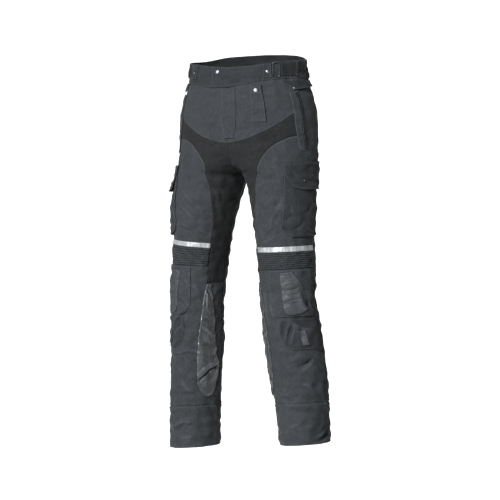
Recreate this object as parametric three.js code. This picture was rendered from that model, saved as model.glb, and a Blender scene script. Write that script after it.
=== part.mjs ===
// Motorcycle trousers, filled out as when worn, with nobody in them.
// Millimetres, +Z up. The front faces -Y and the wearer's left is +X.
// The origin is the centre of the waist, at mid height of the waistband.
import * as THREE from "three";

// Driving sizes
const wall = 2;
const halfSeam = 0.22;
const rest = 0.7;
const bandRoom = 0.5;
const layer = 1.5;
const hipTilt = 0.044;
const forkTop = -200;
const crotch = -285;
const partingPower = 1.5;
const stretchEnd = -591;
const hemSeam = -936;
const hemEdge = -1050;
const pocketTop = -263;
const pocketFoot = { left: -469, right: -455 };
const ribHeight = 2;
const ribCount = 8;
const gatherHeight = 2.2;
const gatherCount = 17;

// Waist and hips: half width at the side, front and back of the section
const torsoSections = [
  { z: 60, outer: 171, front: -117, back: 111 },
  { z: 0, outer: 174, front: -121, back: 115 },
  { z: -40, outer: 180, front: -125, back: 120 },
  { z: -84, outer: 193.5, front: -129, back: 128 },
  { z: -126, outer: 202, front: -132, back: 136 },
  { z: -168, outer: 204, front: -134, back: 140 },
  { z: -200, outer: 204.5, front: -134, back: 139 },
  { z: -240, outer: 205, front: -131, back: 128 },
  { z: -285, outer: 205, front: -127, back: 108 },
];

// Legs: distance of the middle from the centre plane, half widths, front and back
const legSections = [
  { z: -285, middle: 102.5, right: 102.5, left: 102.5, front: -127, back: 108 },
  { z: -300, middle: 106, right: 98, left: 97, front: -125, back: 99 },
  { z: -330, middle: 112, right: 95.5, left: 93, front: -124, back: 87 },
  { z: -364, middle: 119, right: 92.5, left: 89.5, front: -124, back: 76 },
  { z: -465, middle: 128, right: 79.5, left: 81, front: -121, back: 59 },
  { z: -554, middle: 136, right: 75.5, left: 79, front: -119, back: 53 },
  { z: -644, middle: 142, right: 70, left: 76, front: -116, back: 50 },
  { z: -756, middle: 150.5, right: 71.5, left: 81.5, front: -104, back: 64 },
  { z: -868, middle: 162, right: 69, left: 79.5, front: -91, back: 73 },
  { z: -980, middle: 170, right: 69, left: 72, front: -78, back: 82 },
  { z: -1060, middle: 172.5, right: 67, left: 68, front: -71, back: 87 },
];

// Angle of the side seam, from the front round to the side, straight between the rows
const sideSeamRows = [
  { z: 60, angle: 69 },
  { z: -114, angle: 69 },
  { z: -184, angle: 72 },
  { z: -300, angle: 81 },
  { z: -370, angle: 89 },
  { z: -420, angle: 94 },
  { z: -474, angle: 96 },
  { z: -1060, angle: 96 },
];

// Angle of the inner leg seam
const innerSeamRows = [
  { z: -285, angle: -90 },
  { z: -330, angle: -96 },
  { z: -400, angle: -97 },
  { z: -1060, angle: -97 },
];

// Edges of the waistband: height of its top, and of its lower edge on each side
const bandEdges = [
  { angle: 0, top: 13, left: -43, right: -44 },
  { angle: 16, top: 15, left: -37, right: -44 },
  { angle: 28, top: 18, left: -30, right: -41 },
  { angle: 42, top: 22, left: -27, right: -35 },
  { angle: 68, top: 26, left: -26, right: -30 },
  { angle: 110, top: 30, left: -30, right: -30 },
  { angle: 145, top: 36, left: -32, right: -32 },
  { angle: 180, top: 38, left: -32, right: -32 },
];

// Lower edge of the front yoke, from the side seam to the centre
const yokeSeam = [
  { angle: 69, z: -114 },
  { angle: 57, z: -128 },
  { angle: 46, z: -147 },
  { angle: 35, z: -164 },
  { angle: 24, z: -180 },
  { angle: 15, z: -191 },
  { angle: 7, z: -197 },
  { angle: 0, z: -200 },
];

// Steps of the curved centre seam between the legs, front and back, in degrees
const frontRise = [6, 14, 25, 37, 50, 63, 77, 90];
const backRise = [10, 26, 44, 65, 90];

// Heights of the points on the side seam of the thigh
const thighSideHeights = {
  left: [-184, -229, -265, -300, -335, -370, -420, -447, -474, -510],
  right: [-184, -229, -265, -300, -335, -370, -395, -420, -447, -474],
};

// Heights of the points on the inner leg seam, beside the stretch panel
const innerLegHeights = [-300, -330, -370, -420, -474, -520, -556, stretchEnd];

// Edge between the stretch panel and the thigh panel, from the side seam down
const thighEdge = [
  { z: -184, left: 72, right: 72 },
  { z: -188, left: 56, right: 49 },
  { z: -196, left: 47.5, right: 41 },
  { z: -206, left: 40, right: 35 },
  { z: -213, left: 35.5, right: 30.5 },
  { z: -220, left: 31.3, right: 26 },
  { z: -228, left: 27, right: 20.7 },
  { z: -236, left: 22.3, right: 15 },
  { z: -245, left: 17, right: 8.6 },
  { z: -254, left: 11.5, right: 2.3 },
  { z: -265, left: 5, right: -5 },
  { z: -276, left: -1.8, right: -11.5 },
  { z: -290, left: -8.5, right: -17.5 },
  { z: -304, left: -13.7, right: -22.5 },
  { z: -322, left: -18, right: -28 },
  { z: -347, left: -23, right: -33 },
  { z: -372, left: -29, right: -38 },
  { z: -400, left: -34.5, right: -42 },
  { z: -432, left: -41, right: -45 },
];

// Knee bands of each leg: heights at the inner end and at the side seam
const kneeBands = {
  left: { stripTop: [-494, -494], ribTop: [-510, -510], ribEnd: [-558, -555], middle: -628 },
  right: { stripTop: [-480, -459], ribTop: [-495, -474], ribEnd: [-544, -529], middle: -612 },
};
const bandInner = -47;

// Largest folds: a line from one place to another, its half width and its height
const folds = [
  { side: -1, from: [66, -812], to: [-8, -818], width: 15, height: -5 },
  { side: -1, from: [60, -1012], to: [-20, -1000], width: 16, height: -4 },
  { side: -1, from: [28, -345], to: [-8, -400], width: 16, height: -4 },
  { side: -1, from: [22, -402], to: [-14, -446], width: 15, height: 3 },
  { side: 1, from: [18, -842], to: [80, -816], width: 15, height: -4 },
  { side: 1, from: [40, -1015], to: [105, -985], width: 16, height: -4 },
  { side: 1, from: [104, -640], to: [175, -600], width: 18, height: -7 },
  { side: -1, from: [104, -640], to: [175, -600], width: 18, height: -7 },
  { side: 1, from: [120, -545], to: [240, -565], width: 18, height: -7 },
  { side: -1, from: [120, -545], to: [240, -565], width: 18, height: -7 },
  { side: 1, from: [150, -690], to: [240, -655], width: 18, height: -6 },
  { side: -1, from: [150, -690], to: [240, -655], width: 18, height: -6 },
];

// Colour, roughness and metalness of each kind of piece
const finishes = {
  shell: { color: 0x4b4f54, roughness: 0.85, metalness: 0 },
  stretch: { color: 0x3a3b3e, roughness: 0.9, metalness: 0 },
  ribbed: { color: 0x3f4246, roughness: 0.85, metalness: 0 },
  grip: { color: 0x5c5e62, roughness: 0.6, metalness: 0 },
  reflective: { color: 0xc8cacc, roughness: 0.45, metalness: 0 },
  webbing: { color: 0x2d2f33, roughness: 0.8, metalness: 0 },
  steel: { color: 0xc9ccd0, roughness: 0.3, metalness: 1 },
};

const trousers = new THREE.Group();

function addPiece(name, geometry, finish) {
  const mesh = new THREE.Mesh(geometry, new THREE.MeshStandardMaterial(finishes[finish]));
  mesh.name = name;
  trousers.add(mesh);
  return mesh;
}

const blend = (a, b, share) => a + (b - a) * share;

// Smooth value of one column of a table, with no overshoot between its rows
function smoothValue(rows, column, key, at) {
  const x = rows.map((row) => row[key]);
  const y = rows.map((row) => row[column]);
  const last = rows.length - 1;
  const rising = x[last] > x[0];
  const low = rising ? x[0] : x[last];
  const high = rising ? x[last] : x[0];
  const t = Math.min(Math.max(at, low), high);
  const slope = (k) => (y[k + 1] - y[k]) / (x[k + 1] - x[k]);
  const tangent = (k) => {
    if (k === 0) return slope(0);
    if (k === last) return slope(last - 1);
    const before = slope(k - 1);
    const after = slope(k);
    return before * after <= 0 ? 0 : (2 * before * after) / (before + after);
  };
  let k = 0;
  while (k < last - 1 && (rising ? t > x[k + 1] : t < x[k + 1])) k += 1;
  const span = x[k + 1] - x[k];
  const s = (t - x[k]) / span;
  const ease = s * s * (3 - 2 * s);
  const startPull = s * (1 - s) * (1 - s) * span * tangent(k);
  const endPull = s * s * (s - 1) * span * tangent(k + 1);
  return y[k] * (1 - ease) + y[k + 1] * ease + startPull + endPull;
}

const innerSeam = (z) => smoothValue(innerSeamRows, "angle", "z", z);
const bandTop = (angle) => smoothValue(bandEdges, "top", "angle", Math.abs(angle));
const sideName = (side) => (side > 0 ? "left" : "right");
const bandFoot = (side, angle) => smoothValue(bandEdges, sideName(side), "angle", angle);

function sideSeam(z) {
  const k = sideSeamRows.findIndex((row) => row.z <= z);
  const above = sideSeamRows[k - 1];
  const below = sideSeamRows[k];
  return blend(above.angle, below.angle, (above.z - z) / (above.z - below.z));
}

// Ellipse of the cloth at one height: middle and half sizes
function sectionAt(side, z) {
  if (z > crotch) {
    const parting = Math.min(Math.max((forkTop - z) / (forkTop - crotch), 0), 1) ** partingPower;
    const half = smoothValue(torsoSections, "outer", "z", z) / (1 + parting);
    const front = smoothValue(torsoSections, "front", "z", z);
    const back = smoothValue(torsoSections, "back", "z", z);
    return { middle: parting * half, half, centre: (front + back) / 2, depth: (back - front) / 2 };
  }
  const front = smoothValue(legSections, "front", "z", z);
  const back = smoothValue(legSections, "back", "z", z);
  const middle = smoothValue(legSections, "middle", "z", z);
  const half = smoothValue(legSections, sideName(side), "z", z);
  return { middle, half, centre: (front + back) / 2, depth: (back - front) / 2 };
}

// Point of the smooth cloth: angle 0 is the front, 90 the outer side, 180 the back
function skinPoint(side, angle, z) {
  const s = sectionAt(side, z);
  const turn = THREE.MathUtils.degToRad(angle);
  const x = side * (s.middle + s.half * Math.sin(turn));
  return new THREE.Vector3(x, s.centre - s.depth * Math.cos(turn), z);
}

function skinNormal(side, angle, z) {
  const around = skinPoint(side, angle + 0.4, z).sub(skinPoint(side, angle - 0.4, z));
  const along = skinPoint(side, angle, z + 0.8).sub(skinPoint(side, angle, z - 0.8));
  return around.cross(along).normalize().multiplyScalar(side);
}

// Height of the folds at one place, each fading out to both sides and at its ends
function foldHeight(side, angle, z) {
  const perDegree = 1.5;
  let height = 0;
  for (const fold of folds) {
    if (fold.side !== side) continue;
    const start = new THREE.Vector2(fold.from[0] * perDegree, fold.from[1]);
    const run = new THREE.Vector2(fold.to[0] * perDegree, fold.to[1]).sub(start);
    const here = new THREE.Vector2(angle * perDegree, z).sub(start);
    const share = here.dot(run) / run.lengthSq();
    if (share < 0 || share > 1) continue;
    const away = here.clone().addScaledVector(run, -share).length() / fold.width;
    height += fold.height * Math.sin(Math.PI * share) * Math.exp(-away * away);
  }
  return height;
}

// Soft bulge of the knee guard under the cloth
function kneeBulge(side, angle, z) {
  const across = (angle - 34) / 40;
  const along = (z - kneeBands[sideName(side)].middle) / 62;
  return 5 * Math.exp(-across * across - along * along);
}

// Point of the formed cloth, moved out by a lift, with the tilt of the hips
function clothPoint(side, angle, z, lift) {
  const out = lift + foldHeight(side, angle, z) + kneeBulge(side, angle, z);
  const point = skinPoint(side, angle, z).addScaledVector(skinNormal(side, angle, z), out);
  point.z += hipTilt * point.x;
  return point;
}

// Closed solid between an outer and an inner grid of points; a ring joins its first column
function sheetSolid(outer, inner, ring = false) {
  const rows = outer.length;
  const columns = outer[0].length;
  const points = [...outer.flat(), ...inner.flat()];
  const inside = rows * columns;
  const at = (i, j) => i * columns + (j % columns);
  const triangles = [];
  const quad = (a, b, c, d) => triangles.push(a, b, c, a, c, d);
  const lastColumn = ring ? columns : columns - 1;
  for (let i = 0; i < rows - 1; i += 1) {
    for (let j = 0; j < lastColumn; j += 1) {
      quad(at(i, j), at(i + 1, j), at(i + 1, j + 1), at(i, j + 1));
      quad(inside + at(i, j), inside + at(i, j + 1), inside + at(i + 1, j + 1), inside + at(i + 1, j));
    }
  }
  for (let j = 0; j < lastColumn; j += 1) {
    quad(at(0, j), at(0, j + 1), inside + at(0, j + 1), inside + at(0, j));
    quad(at(rows - 1, j), inside + at(rows - 1, j), inside + at(rows - 1, j + 1), at(rows - 1, j + 1));
  }
  for (let i = 0; i < rows - 1 && !ring; i += 1) {
    quad(at(i, 0), inside + at(i, 0), inside + at(i + 1, 0), at(i + 1, 0));
    const e = columns - 1;
    quad(at(i, e), at(i + 1, e), inside + at(i + 1, e), inside + at(i, e));
  }
  return closedGeometry(points, triangles);
}

// Faces are turned round when they point in
function closedGeometry(points, triangles) {
  let volume = 0;
  for (let t = 0; t < triangles.length; t += 3) {
    const [a, b, c] = [points[triangles[t]], points[triangles[t + 1]], points[triangles[t + 2]]];
    volume += a.dot(b.clone().cross(c));
  }
  const faces = volume < 0 ? triangles.slice().reverse() : triangles;
  const geometry = new THREE.BufferGeometry();
  geometry.setFromPoints(points);
  geometry.setIndex(faces);
  geometry.computeVertexNormals();
  return geometry;
}

// Draws an edge point towards the panel, square to the edge, to leave room at the seam
function drawnIn(point, before, after, inward) {
  const incoming = point.clone().sub(before).normalize();
  const outgoing = after.clone().sub(point).normalize();
  const along = incoming.clone().add(outgoing).normalize();
  const atEnd = point === before || point === after;
  const mitre = atEnd ? 1 : Math.sqrt(2 / Math.max(1 + incoming.dot(outgoing), 0.5));
  const move = inward.clone().sub(point);
  move.addScaledVector(along, -move.dot(along)).normalize();
  return point.clone().addScaledVector(move, halfSeam * mitre);
}

function pulledEdges(grid, ring) {
  const rows = grid.length;
  const columns = grid[0].length;
  const pulled = grid.map((row) => row.slice());
  const near = (j) => (ring ? (j + columns) % columns : Math.min(Math.max(j, 0), columns - 1));
  for (let j = 0; j < columns; j += 1) {
    for (const [i, next] of [[0, 1], [rows - 1, rows - 2]]) {
      pulled[i][j] = drawnIn(grid[i][j], grid[i][near(j - 1)], grid[i][near(j + 1)], grid[next][j]);
    }
  }
  for (let i = 0; i < rows && !ring; i += 1) {
    const above = Math.max(i - 1, 0);
    const below = Math.min(i + 1, rows - 1);
    for (const [j, next] of [[0, 1], [columns - 1, columns - 2]]) {
      const shift = drawnIn(grid[i][j], grid[above][j], grid[below][j], grid[i][next]).sub(grid[i][j]);
      pulled[i][j] = pulled[i][j].clone().add(shift);
    }
  }
  return pulled;
}

// Cloth piece from a grid of [angle, z]; liftAt gives the outer height of each grid point,
// baseAt that of the inner face. A half piece stays on its own side of the centre plane.
function clothPiece(side, grid, { liftAt, baseAt, ring = false, half = false }) {
  const layerPoints = (height) => {
    const points = grid.map((row, i) => row.map(([angle, z], j) => {
      return clothPoint(side, angle, z, height(i, j, angle, z));
    }));
    const pulled = pulledEdges(points, ring);
    if (half) {
      pulled.flat().forEach((point) => {
        point.x = side * Math.max(side * point.x, halfSeam);
      });
    }
    return pulled;
  };
  return sheetSolid(layerPoints(liftAt), layerPoints(baseAt), ring);
}

function wallPiece(side, grid, options = {}) {
  return clothPiece(side, grid, { liftAt: () => 0, baseAt: () => -wall, half: true, ...options });
}

function laidPiece(side, grid, thickness = layer, lift = () => 0) {
  return clothPiece(side, grid, {
    liftAt: (i, j, angle, z) => rest + thickness + lift(i, j, angle, z),
    baseAt: (i, j, angle, z) => rest + lift(i, j, angle, z),
  });
}

function straight(from, to, steps) {
  const points = [];
  for (let k = 0; k <= steps; k += 1) {
    points.push([blend(from[0], to[0], k / steps), blend(from[1], to[1], k / steps)]);
  }
  return points;
}

// Even steps along a bent line
function stepsAlong(corners, steps) {
  const lengths = [0];
  for (let k = 1; k < corners.length; k += 1) {
    const across = (corners[k][0] - corners[k - 1][0]) * 1.6;
    const down = corners[k][1] - corners[k - 1][1];
    lengths.push(lengths[k - 1] + Math.hypot(across, down));
  }
  const total = lengths[lengths.length - 1];
  const points = [];
  for (let n = 0; n <= steps; n += 1) {
    const want = (total * n) / steps;
    let k = 1;
    while (k < corners.length - 1 && lengths[k] < want) k += 1;
    const share = (want - lengths[k - 1]) / (lengths[k] - lengths[k - 1]);
    points.push([
      blend(corners[k - 1][0], corners[k][0], share),
      blend(corners[k - 1][1], corners[k][1], share),
    ]);
  }
  return points;
}

// Grid of [angle, z] spanned by four edges that meet at the corners
function spanned(top, bottom, first, last) {
  const columns = top.length - 1;
  const rows = first.length - 1;
  return first.map((left, i) => top.map((up, j) => {
    const u = j / columns;
    const v = i / rows;
    return [0, 1].map((k) => {
      const ruled = (1 - v) * up[k] + v * bottom[j][k] + (1 - u) * left[k] + u * last[i][k];
      const high = (1 - u) * top[0][k] + u * top[columns][k];
      const low = (1 - u) * bottom[0][k] + u * bottom[columns][k];
      return ruled - (1 - v) * high - v * low;
    });
  }));
}

function ruledGrid(top, bottom, rows) {
  const first = straight(top[0], bottom[0], rows);
  const last = straight(top[top.length - 1], bottom[bottom.length - 1], rows);
  return spanned(top, bottom, first, last);
}

// Height on the curved centre seam where the cloth of one side meets the centre plane
function riseHeight(turn) {
  const parting = Math.sin(THREE.MathUtils.degToRad(turn)) ** (1 / partingPower);
  return forkTop - (forkTop - crotch) * parting;
}

function sideSeamPoints(fromZ, toZ, steps) {
  return straight([0, fromZ], [0, toZ], steps).map(([, z]) => [sideSeam(z), z]);
}

// Height of a knee band at an angle, from its inner end to the side seam
function bandHeight(ends, angle) {
  const share = (angle - bandInner) / (96 - bandInner);
  return blend(ends[0], ends[1], share);
}

function bandLine(ends, fromAngle, toAngle, steps) {
  return straight([fromAngle, 0], [toAngle, 0], steps).map(([angle]) => {
    return [angle, bandHeight(ends, angle)];
  });
}

function thighEdgePoints(side) {
  const points = thighEdge.map((row) => [row[sideName(side)], row.z]);
  points[0][0] = sideSeam(points[0][1]);
  return points;
}

function frontYoke(side) {
  const seam = yokeSeam.map((row) => [row.angle, row.z]);
  const top = seam.map(([angle]) => [angle, bandFoot(side, angle) - bandRoom]);
  return wallPiece(side, ruledGrid(top, seam, 5));
}

// Stretch panel: from the side seam under the yoke, over the centre, down the inner leg
function crotchStretch(side) {
  const bands = kneeBands[sideName(side)];
  const rise = frontRise.map((turn) => [-turn, riseHeight(turn)]);
  const inseam = innerLegHeights.map((z) => [innerSeam(z), z]);
  const outer = [...yokeSeam.map((row) => [row.angle, row.z]), ...rise, ...inseam];
  const edge = thighEdgePoints(side);
  const lower = [[bandInner, bands.ribTop[0]], [bandInner, bands.ribEnd[0]]];
  const middle = [blend(edge[18][0], bandInner, 0.5), blend(edge[18][1], bands.ribTop[0], 0.5)];
  const ribMiddle = [bandInner, (bands.ribTop[0] + bands.ribEnd[0]) / 2];
  const end = [bandInner, stretchEnd];
  const inner = [...edge, middle, lower[0], ribMiddle, lower[1], end];
  const rows = 5;
  const start = sideSeamPoints(outer[0][1], inner[0][1], rows);
  const finish = straight(outer[outer.length - 1], end, rows);
  return wallPiece(side, spanned(outer, inner, start, finish));
}

function thighFront(side) {
  const bands = kneeBands[sideName(side)];
  const edge = thighEdgePoints(side);
  const bottom = bandLine(bands.ribTop, 96, bandInner, edge.length - 1);
  const outer = thighSideHeights[sideName(side)].map((z) => [sideSeam(z), z]);
  const inner = straight(edge[edge.length - 1], bottom[bottom.length - 1], outer.length - 1);
  return wallPiece(side, spanned(edge, bottom, outer, inner));
}

// Ribbed stretch band above the knee, with its ribs raised on the outer face
function ribbedBand(side) {
  const bands = kneeBands[sideName(side)];
  const columns = 9;
  const top = bandLine(bands.ribTop, 96, bandInner, columns);
  const bottom = bandLine(bands.ribEnd, 96, bandInner, columns);
  const grid = ruledGrid(top, bottom, ribCount * 2);
  const liftAt = (i, j) => (i % 2 === 1 && j > 0 && j < columns ? ribHeight : 0);
  return wallPiece(side, grid, { liftAt });
}

function shinFront(side) {
  const bands = kneeBands[sideName(side)];
  const top = [
    ...bandLine(bands.ribEnd, 96, bandInner, 11),
    ...straight([bandInner, stretchEnd], [innerSeam(stretchEnd), stretchEnd], 3),
  ];
  const bottom = [
    ...straight([96, hemSeam], [-34, hemSeam], 11),
    ...straight([-50, hemSeam], [innerSeam(hemSeam), hemSeam], 3),
  ];
  return wallPiece(side, ruledGrid(top, bottom, 15));
}

// Back of one leg and seat, from the waistband to the hem band
function backPanel(side) {
  const rise = backRise.map((turn) => [180 + turn, riseHeight(turn)]);
  const seat = [-32, -60, -87, -114, -149, -184, forkTop].map((z) => [180, z]);
  const legHeights = [...innerLegHeights, -620, -650, -685, -720, -756, -800, -865, hemSeam];
  const leg = legHeights.map((z) => [360 + innerSeam(z), z]);
  const last = [...seat, ...rise, ...leg];
  const first = last.map(([, z]) => [sideSeam(z), z]);
  first[0][1] = bandFoot(side, sideSeam(0)) - bandRoom;
  last[0][1] = bandFoot(side, 180) - bandRoom;
  const columns = 10;
  const top = straight(first[0], last[0], columns).map(([angle]) => {
    return [angle, bandFoot(side, angle) - bandRoom];
  });
  const bottom = straight(first[first.length - 1], last[last.length - 1], columns);
  return wallPiece(side, spanned(top, bottom, first, last));
}

// Hem band, a closed ring
function hemBand(side) {
  const heights = [hemSeam, -960, -985, -1010, -1032, hemEdge];
  const columns = 24;
  const grid = heights.map((z, i) => {
    const dip = i === heights.length - 1 ? 4 : 0;
    return straight([0, z], [360, z], columns).slice(0, columns).map(([angle, height]) => {
      return [angle, height - dip * Math.cos(THREE.MathUtils.degToRad(angle))];
    });
  });
  return wallPiece(side, grid, { ring: true, half: false });
}

// Waistband: the left piece laps over the right one
const lapEnd = -19;

function bandGrid(fromAngle, toAngle, columns, rows, footAt) {
  const top = straight([fromAngle, 0], [toAngle, 0], columns).map(([angle]) => {
    return [angle, bandTop(angle > 180 ? 360 - angle : angle)];
  });
  const bottom = top.map(([angle]) => [angle, footAt(angle)]);
  return ruledGrid(top, bottom, rows);
}

function waistbandLeft() {
  const grid = bandGrid(lapEnd, 68, 18, 3, (angle) => {
    return angle < 0 ? bandFoot(-1, -angle) : bandFoot(1, angle);
  });
  const raised = (angle) => (wall + rest) * (1 - THREE.MathUtils.smoothstep(angle, 0, 9));
  return wallPiece(1, grid, {
    half: false,
    liftAt: (i, j, angle) => raised(angle),
    baseAt: (i, j, angle) => raised(angle) - wall,
  });
}

function waistbandRight() {
  const grid = bandGrid(1, 68, 14, 3, (angle) => bandFoot(-1, angle));
  return wallPiece(-1, grid);
}

// Back of the waistband, gathered by elastic
function waistbandBack() {
  const columns = gatherCount * 2 + 8;
  const foot = (angle) => (angle > 180 ? bandFoot(-1, 360 - angle) : bandFoot(1, angle));
  const grid = bandGrid(68, 292, columns, 3, foot);
  const gathered = (j) => j % 2 === 1 && j > 3 && j < columns - 3;
  return wallPiece(1, grid, {
    half: false,
    liftAt: (i, j) => (gathered(j) && i > 0 && i < 3 ? gatherHeight : 0),
  });
}

// Fly: a narrow layer over the centre seam, drawn in at its foot
function flyPlacket() {
  const top = straight([-6.5, -46], [6.5, -46], 4);
  const bottom = straight([-2.5, -186], [5, -186], 4);
  const first = stepsAlong([[-6.5, -46], [-6, -140], [-2.5, -186]], 7);
  const last = stepsAlong([[6.5, -46], [7.5, -150], [5, -186]], 7);
  return laidPiece(1, spanned(top, bottom, first, last), 1.2);
}

// Small tab on the left of the front, standing off at its outer edge
function frontTab() {
  const top = straight([20, -39], [31, -39], 5);
  const bottom = straight([20, -143], [33, -143], 5);
  const lift = (i, j) => (j === 5 ? 3.5 : j === 4 ? 1.2 : 0);
  return laidPiece(1, ruledGrid(top, bottom, 6), 1.2, lift);
}

function pocketWelt(side) {
  const front = stepsAlong([[58.5, -64], [59, -110], [60.5, -160], [64.5, -225]], 8);
  const rear = stepsAlong([[66, -64], [67.5, -120], [69, -170], [72, -225]], 8);
  const top = straight(front[0], rear[0], 3);
  const bottom = straight(front[8], rear[8], 3);
  return laidPiece(side, spanned(top, bottom, front, rear), 1.6, () => 0.1);
}

// Flap under the waistband at the hip, with its lower edge standing off
function hipFlap(side) {
  const top = stepsAlong([[54, -32], [112, -34]], 10);
  const bottom = stepsAlong([[57, -38], [64.5, -58], [112, -52]], 10);
  const first = straight(top[0], bottom[0], 3);
  const last = straight(top[10], bottom[10], 3);
  const lift = (i, j, angle) => (i / 3) * THREE.MathUtils.smoothstep(angle, 56, 80) * 4;
  return laidPiece(side, spanned(top, bottom, first, last), layer, lift);
}

// Cargo pocket: bellows that stand off more towards the foot and the rear
const pocketTurn = { left: 0, right: 11 };
const pocketRear = 112;

function pocketBulge(side, angle, z) {
  const name = sideName(side);
  const foot = -pocketFoot[name];
  const fromFront = THREE.MathUtils.smoothstep(angle, 24 + pocketTurn[name], 62);
  const fromRear = 1 - THREE.MathUtils.smoothstep(angle, 100, pocketRear);
  const down = THREE.MathUtils.smoothstep(-z, -pocketTop, foot - 50);
  const gusset = 1 - THREE.MathUtils.smoothstep(-z, foot - 11, foot);
  return (1 + 6 * down) * fromFront * fromRear * gusset;
}

function cargoPocket(side) {
  const turn = pocketTurn[sideName(side)];
  const foot = pocketFoot[sideName(side)];
  const rows = 10;
  const columns = 10;
  const corners = [[39, pocketTop], [32, -335], [24, foot + 31], [31, foot + 13], [42, foot]];
  const front = stepsAlong(corners.map(([angle, z]) => [angle + turn, z]), rows);
  const rear = straight([pocketRear, pocketTop], [pocketRear, foot], rows);
  const top = straight(front[0], rear[0], columns);
  const bottom = straight(front[rows], rear[rows], columns);
  const lift = (i, j, angle, z) => 0.2 + pocketBulge(side, angle, z);
  return laidPiece(side, spanned(top, bottom, front, rear), layer, lift);
}

const flapFlare = { left: 3, right: 12 };

function flapLift(side, angle, z) {
  const down = THREE.MathUtils.smoothstep(-z, -pocketTop, 340);
  const out = THREE.MathUtils.smoothstep(angle, 45, 85);
  return pocketBulge(side, angle, z) + layer + rest + 0.7 + flapFlare[sideName(side)] * down * out;
}

function cargoFlap(side) {
  const turn = pocketTurn[sideName(side)];
  const rows = 5;
  const columns = 9;
  const frontCorners = [[37.5, pocketTop + 2], [36, -288], [42, -310]];
  const footCorners = [[42, -310], [50, -330], [63, -338], [pocketRear - turn + 2, -341]];
  const turned = ([angle, z]) => [angle + turn, z];
  const front = stepsAlong(frontCorners.map(turned), rows);
  const bottom = stepsAlong(footCorners.map(turned), columns);
  const rear = straight([pocketRear + 2, pocketTop + 2], bottom[columns], rows);
  const top = straight(front[0], rear[0], columns);
  const lift = (i, j, angle, z) => flapLift(side, angle, z);
  return laidPiece(side, spanned(top, bottom, front, rear), layer, lift);
}

function reflectiveStrip(side) {
  const bands = kneeBands[sideName(side)];
  const foot = bands.ribTop.map((z) => z + 1);
  const top = bandLine(bands.stripTop, 93, bandInner + 2, 14);
  const bottom = bandLine(foot, 93, bandInner + 2, 14);
  return laidPiece(side, ruledGrid(top, bottom, 1), 1.2);
}

// Knee pieces are set down from the foot of the ribbed band, which differs between the legs
function kneeShift(side, corners) {
  const drop = kneeBands[sideName(side)].middle - kneeBands.left.middle;
  return corners.map(([angle, z]) => [angle, z + drop]);
}

const cupRoom = 0.3;

function kneeCup(side) {
  const bands = kneeBands[sideName(side)];
  const columns = 9;
  const top = bandLine(bands.ribEnd, -9, 80, columns).map(([angle, z]) => [angle, z - 3]);
  const foot = kneeShift(side, [[-3, -684], [4, -691], [80, -691]]);
  const bottom = stepsAlong(foot, columns);
  const first = stepsAlong([top[0], ...kneeShift(side, [[-13, -640], [-13, -668]]), bottom[0]], 7);
  const last = straight(top[columns], bottom[columns], 7);
  return laidPiece(side, spanned(top, bottom, first, last), layer, () => cupRoom);
}

function kneePatch(side) {
  const rear = kneeShift(side, [[37, -565], [48.5, -586], [59, -612], [66, -636], [63, -672]]);
  const front = kneeShift(side, [[14.5, -568], [17.5, -666], [21, -681]]);
  const foot = kneeShift(side, [[21, -681], [27, -687], [49, -684], [63, -672]]);
  const rows = 7;
  const columns = 5;
  const first = stepsAlong(front, rows);
  const last = stepsAlong(rear, rows);
  const top = straight(first[0], last[0], columns);
  const bottom = stepsAlong(foot, columns);
  const lift = () => layer + rest + cupRoom;
  return laidPiece(side, spanned(top, bottom, first, last), layer, lift);
}

function kneeLower(side) {
  const columns = 9;
  const rows = 5;
  const front = kneeShift(side, [[2, -697], [0, -730], [4, -762]]);
  const foot = kneeShift(side, [[4, -762], [14, -778], [26, -785], [88, -785]]);
  const first = stepsAlong(front, rows);
  const bottom = stepsAlong(foot, columns);
  const top = straight(first[0], kneeShift(side, [[88, -697]])[0], columns);
  const last = straight(top[columns], bottom[columns], rows);
  return laidPiece(side, spanned(top, bottom, first, last), 1.2);
}

function kneeSmallPatch(side) {
  const top = kneeShift(side, straight([39, -732], [52, -730], 2));
  const bottom = kneeShift(side, straight([45, -773], [58, -771], 2));
  const lift = () => 1.2 + rest;
  return laidPiece(side, ruledGrid(top, bottom, 3), 1.2, lift);
}

function calfGrip(side) {
  const rows = 13;
  const columns = 4;
  const front = [
    [-46.5, -594], [-42.6, -625], [-39.5, -666], [-35.2, -708], [-31, -745],
    [-30.5, -785], [-32.5, -849], [-35.8, -877], [-43, -897],
  ];
  const rear = [
    [-56, -594], [-63, -630], [-69, -697], [-70, -750],
    [-76, -790], [-90, -825], [-84, -866], [-72, -905],
  ];
  const first = stepsAlong(front, rows);
  const last = stepsAlong(rear, rows);
  const top = straight(first[0], last[0], columns);
  const bottom = stepsAlong([first[rows], [-53, -909], [-62, -912], last[rows]], columns);
  return laidPiece(side, spanned(top, bottom, first, last), layer, () => 0.35);
}

// Places a hard piece on a layer, its Z axis along the outward normal there
function seatOn(mesh, side, angle, z, liftAt) {
  const pointAt = (a, h) => clothPoint(side, a, h, liftAt(a, h));
  const around = pointAt(angle + 2, z).sub(pointAt(angle - 2, z));
  const along = pointAt(angle, z + 5).sub(pointAt(angle, z - 5));
  const normal = around.cross(along).normalize().multiplyScalar(side);
  const up = new THREE.Vector3(0, 0, 1).addScaledVector(normal, -normal.z).normalize();
  const across = up.clone().cross(normal);
  mesh.quaternion.setFromRotationMatrix(new THREE.Matrix4().makeBasis(across, up, normal));
  mesh.position.copy(pointAt(angle, z));
}

// Press stud cap: a low turned dome
function studCap(radius, height) {
  const profile = [[0, 0], [radius, 0], [radius, height * 0.55], [radius * 0.7, height], [0, height]];
  const points = profile.map(([r, h]) => new THREE.Vector2(r, h));
  return new THREE.LatheGeometry(points, 12).rotateX(Math.PI / 2);
}

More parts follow.
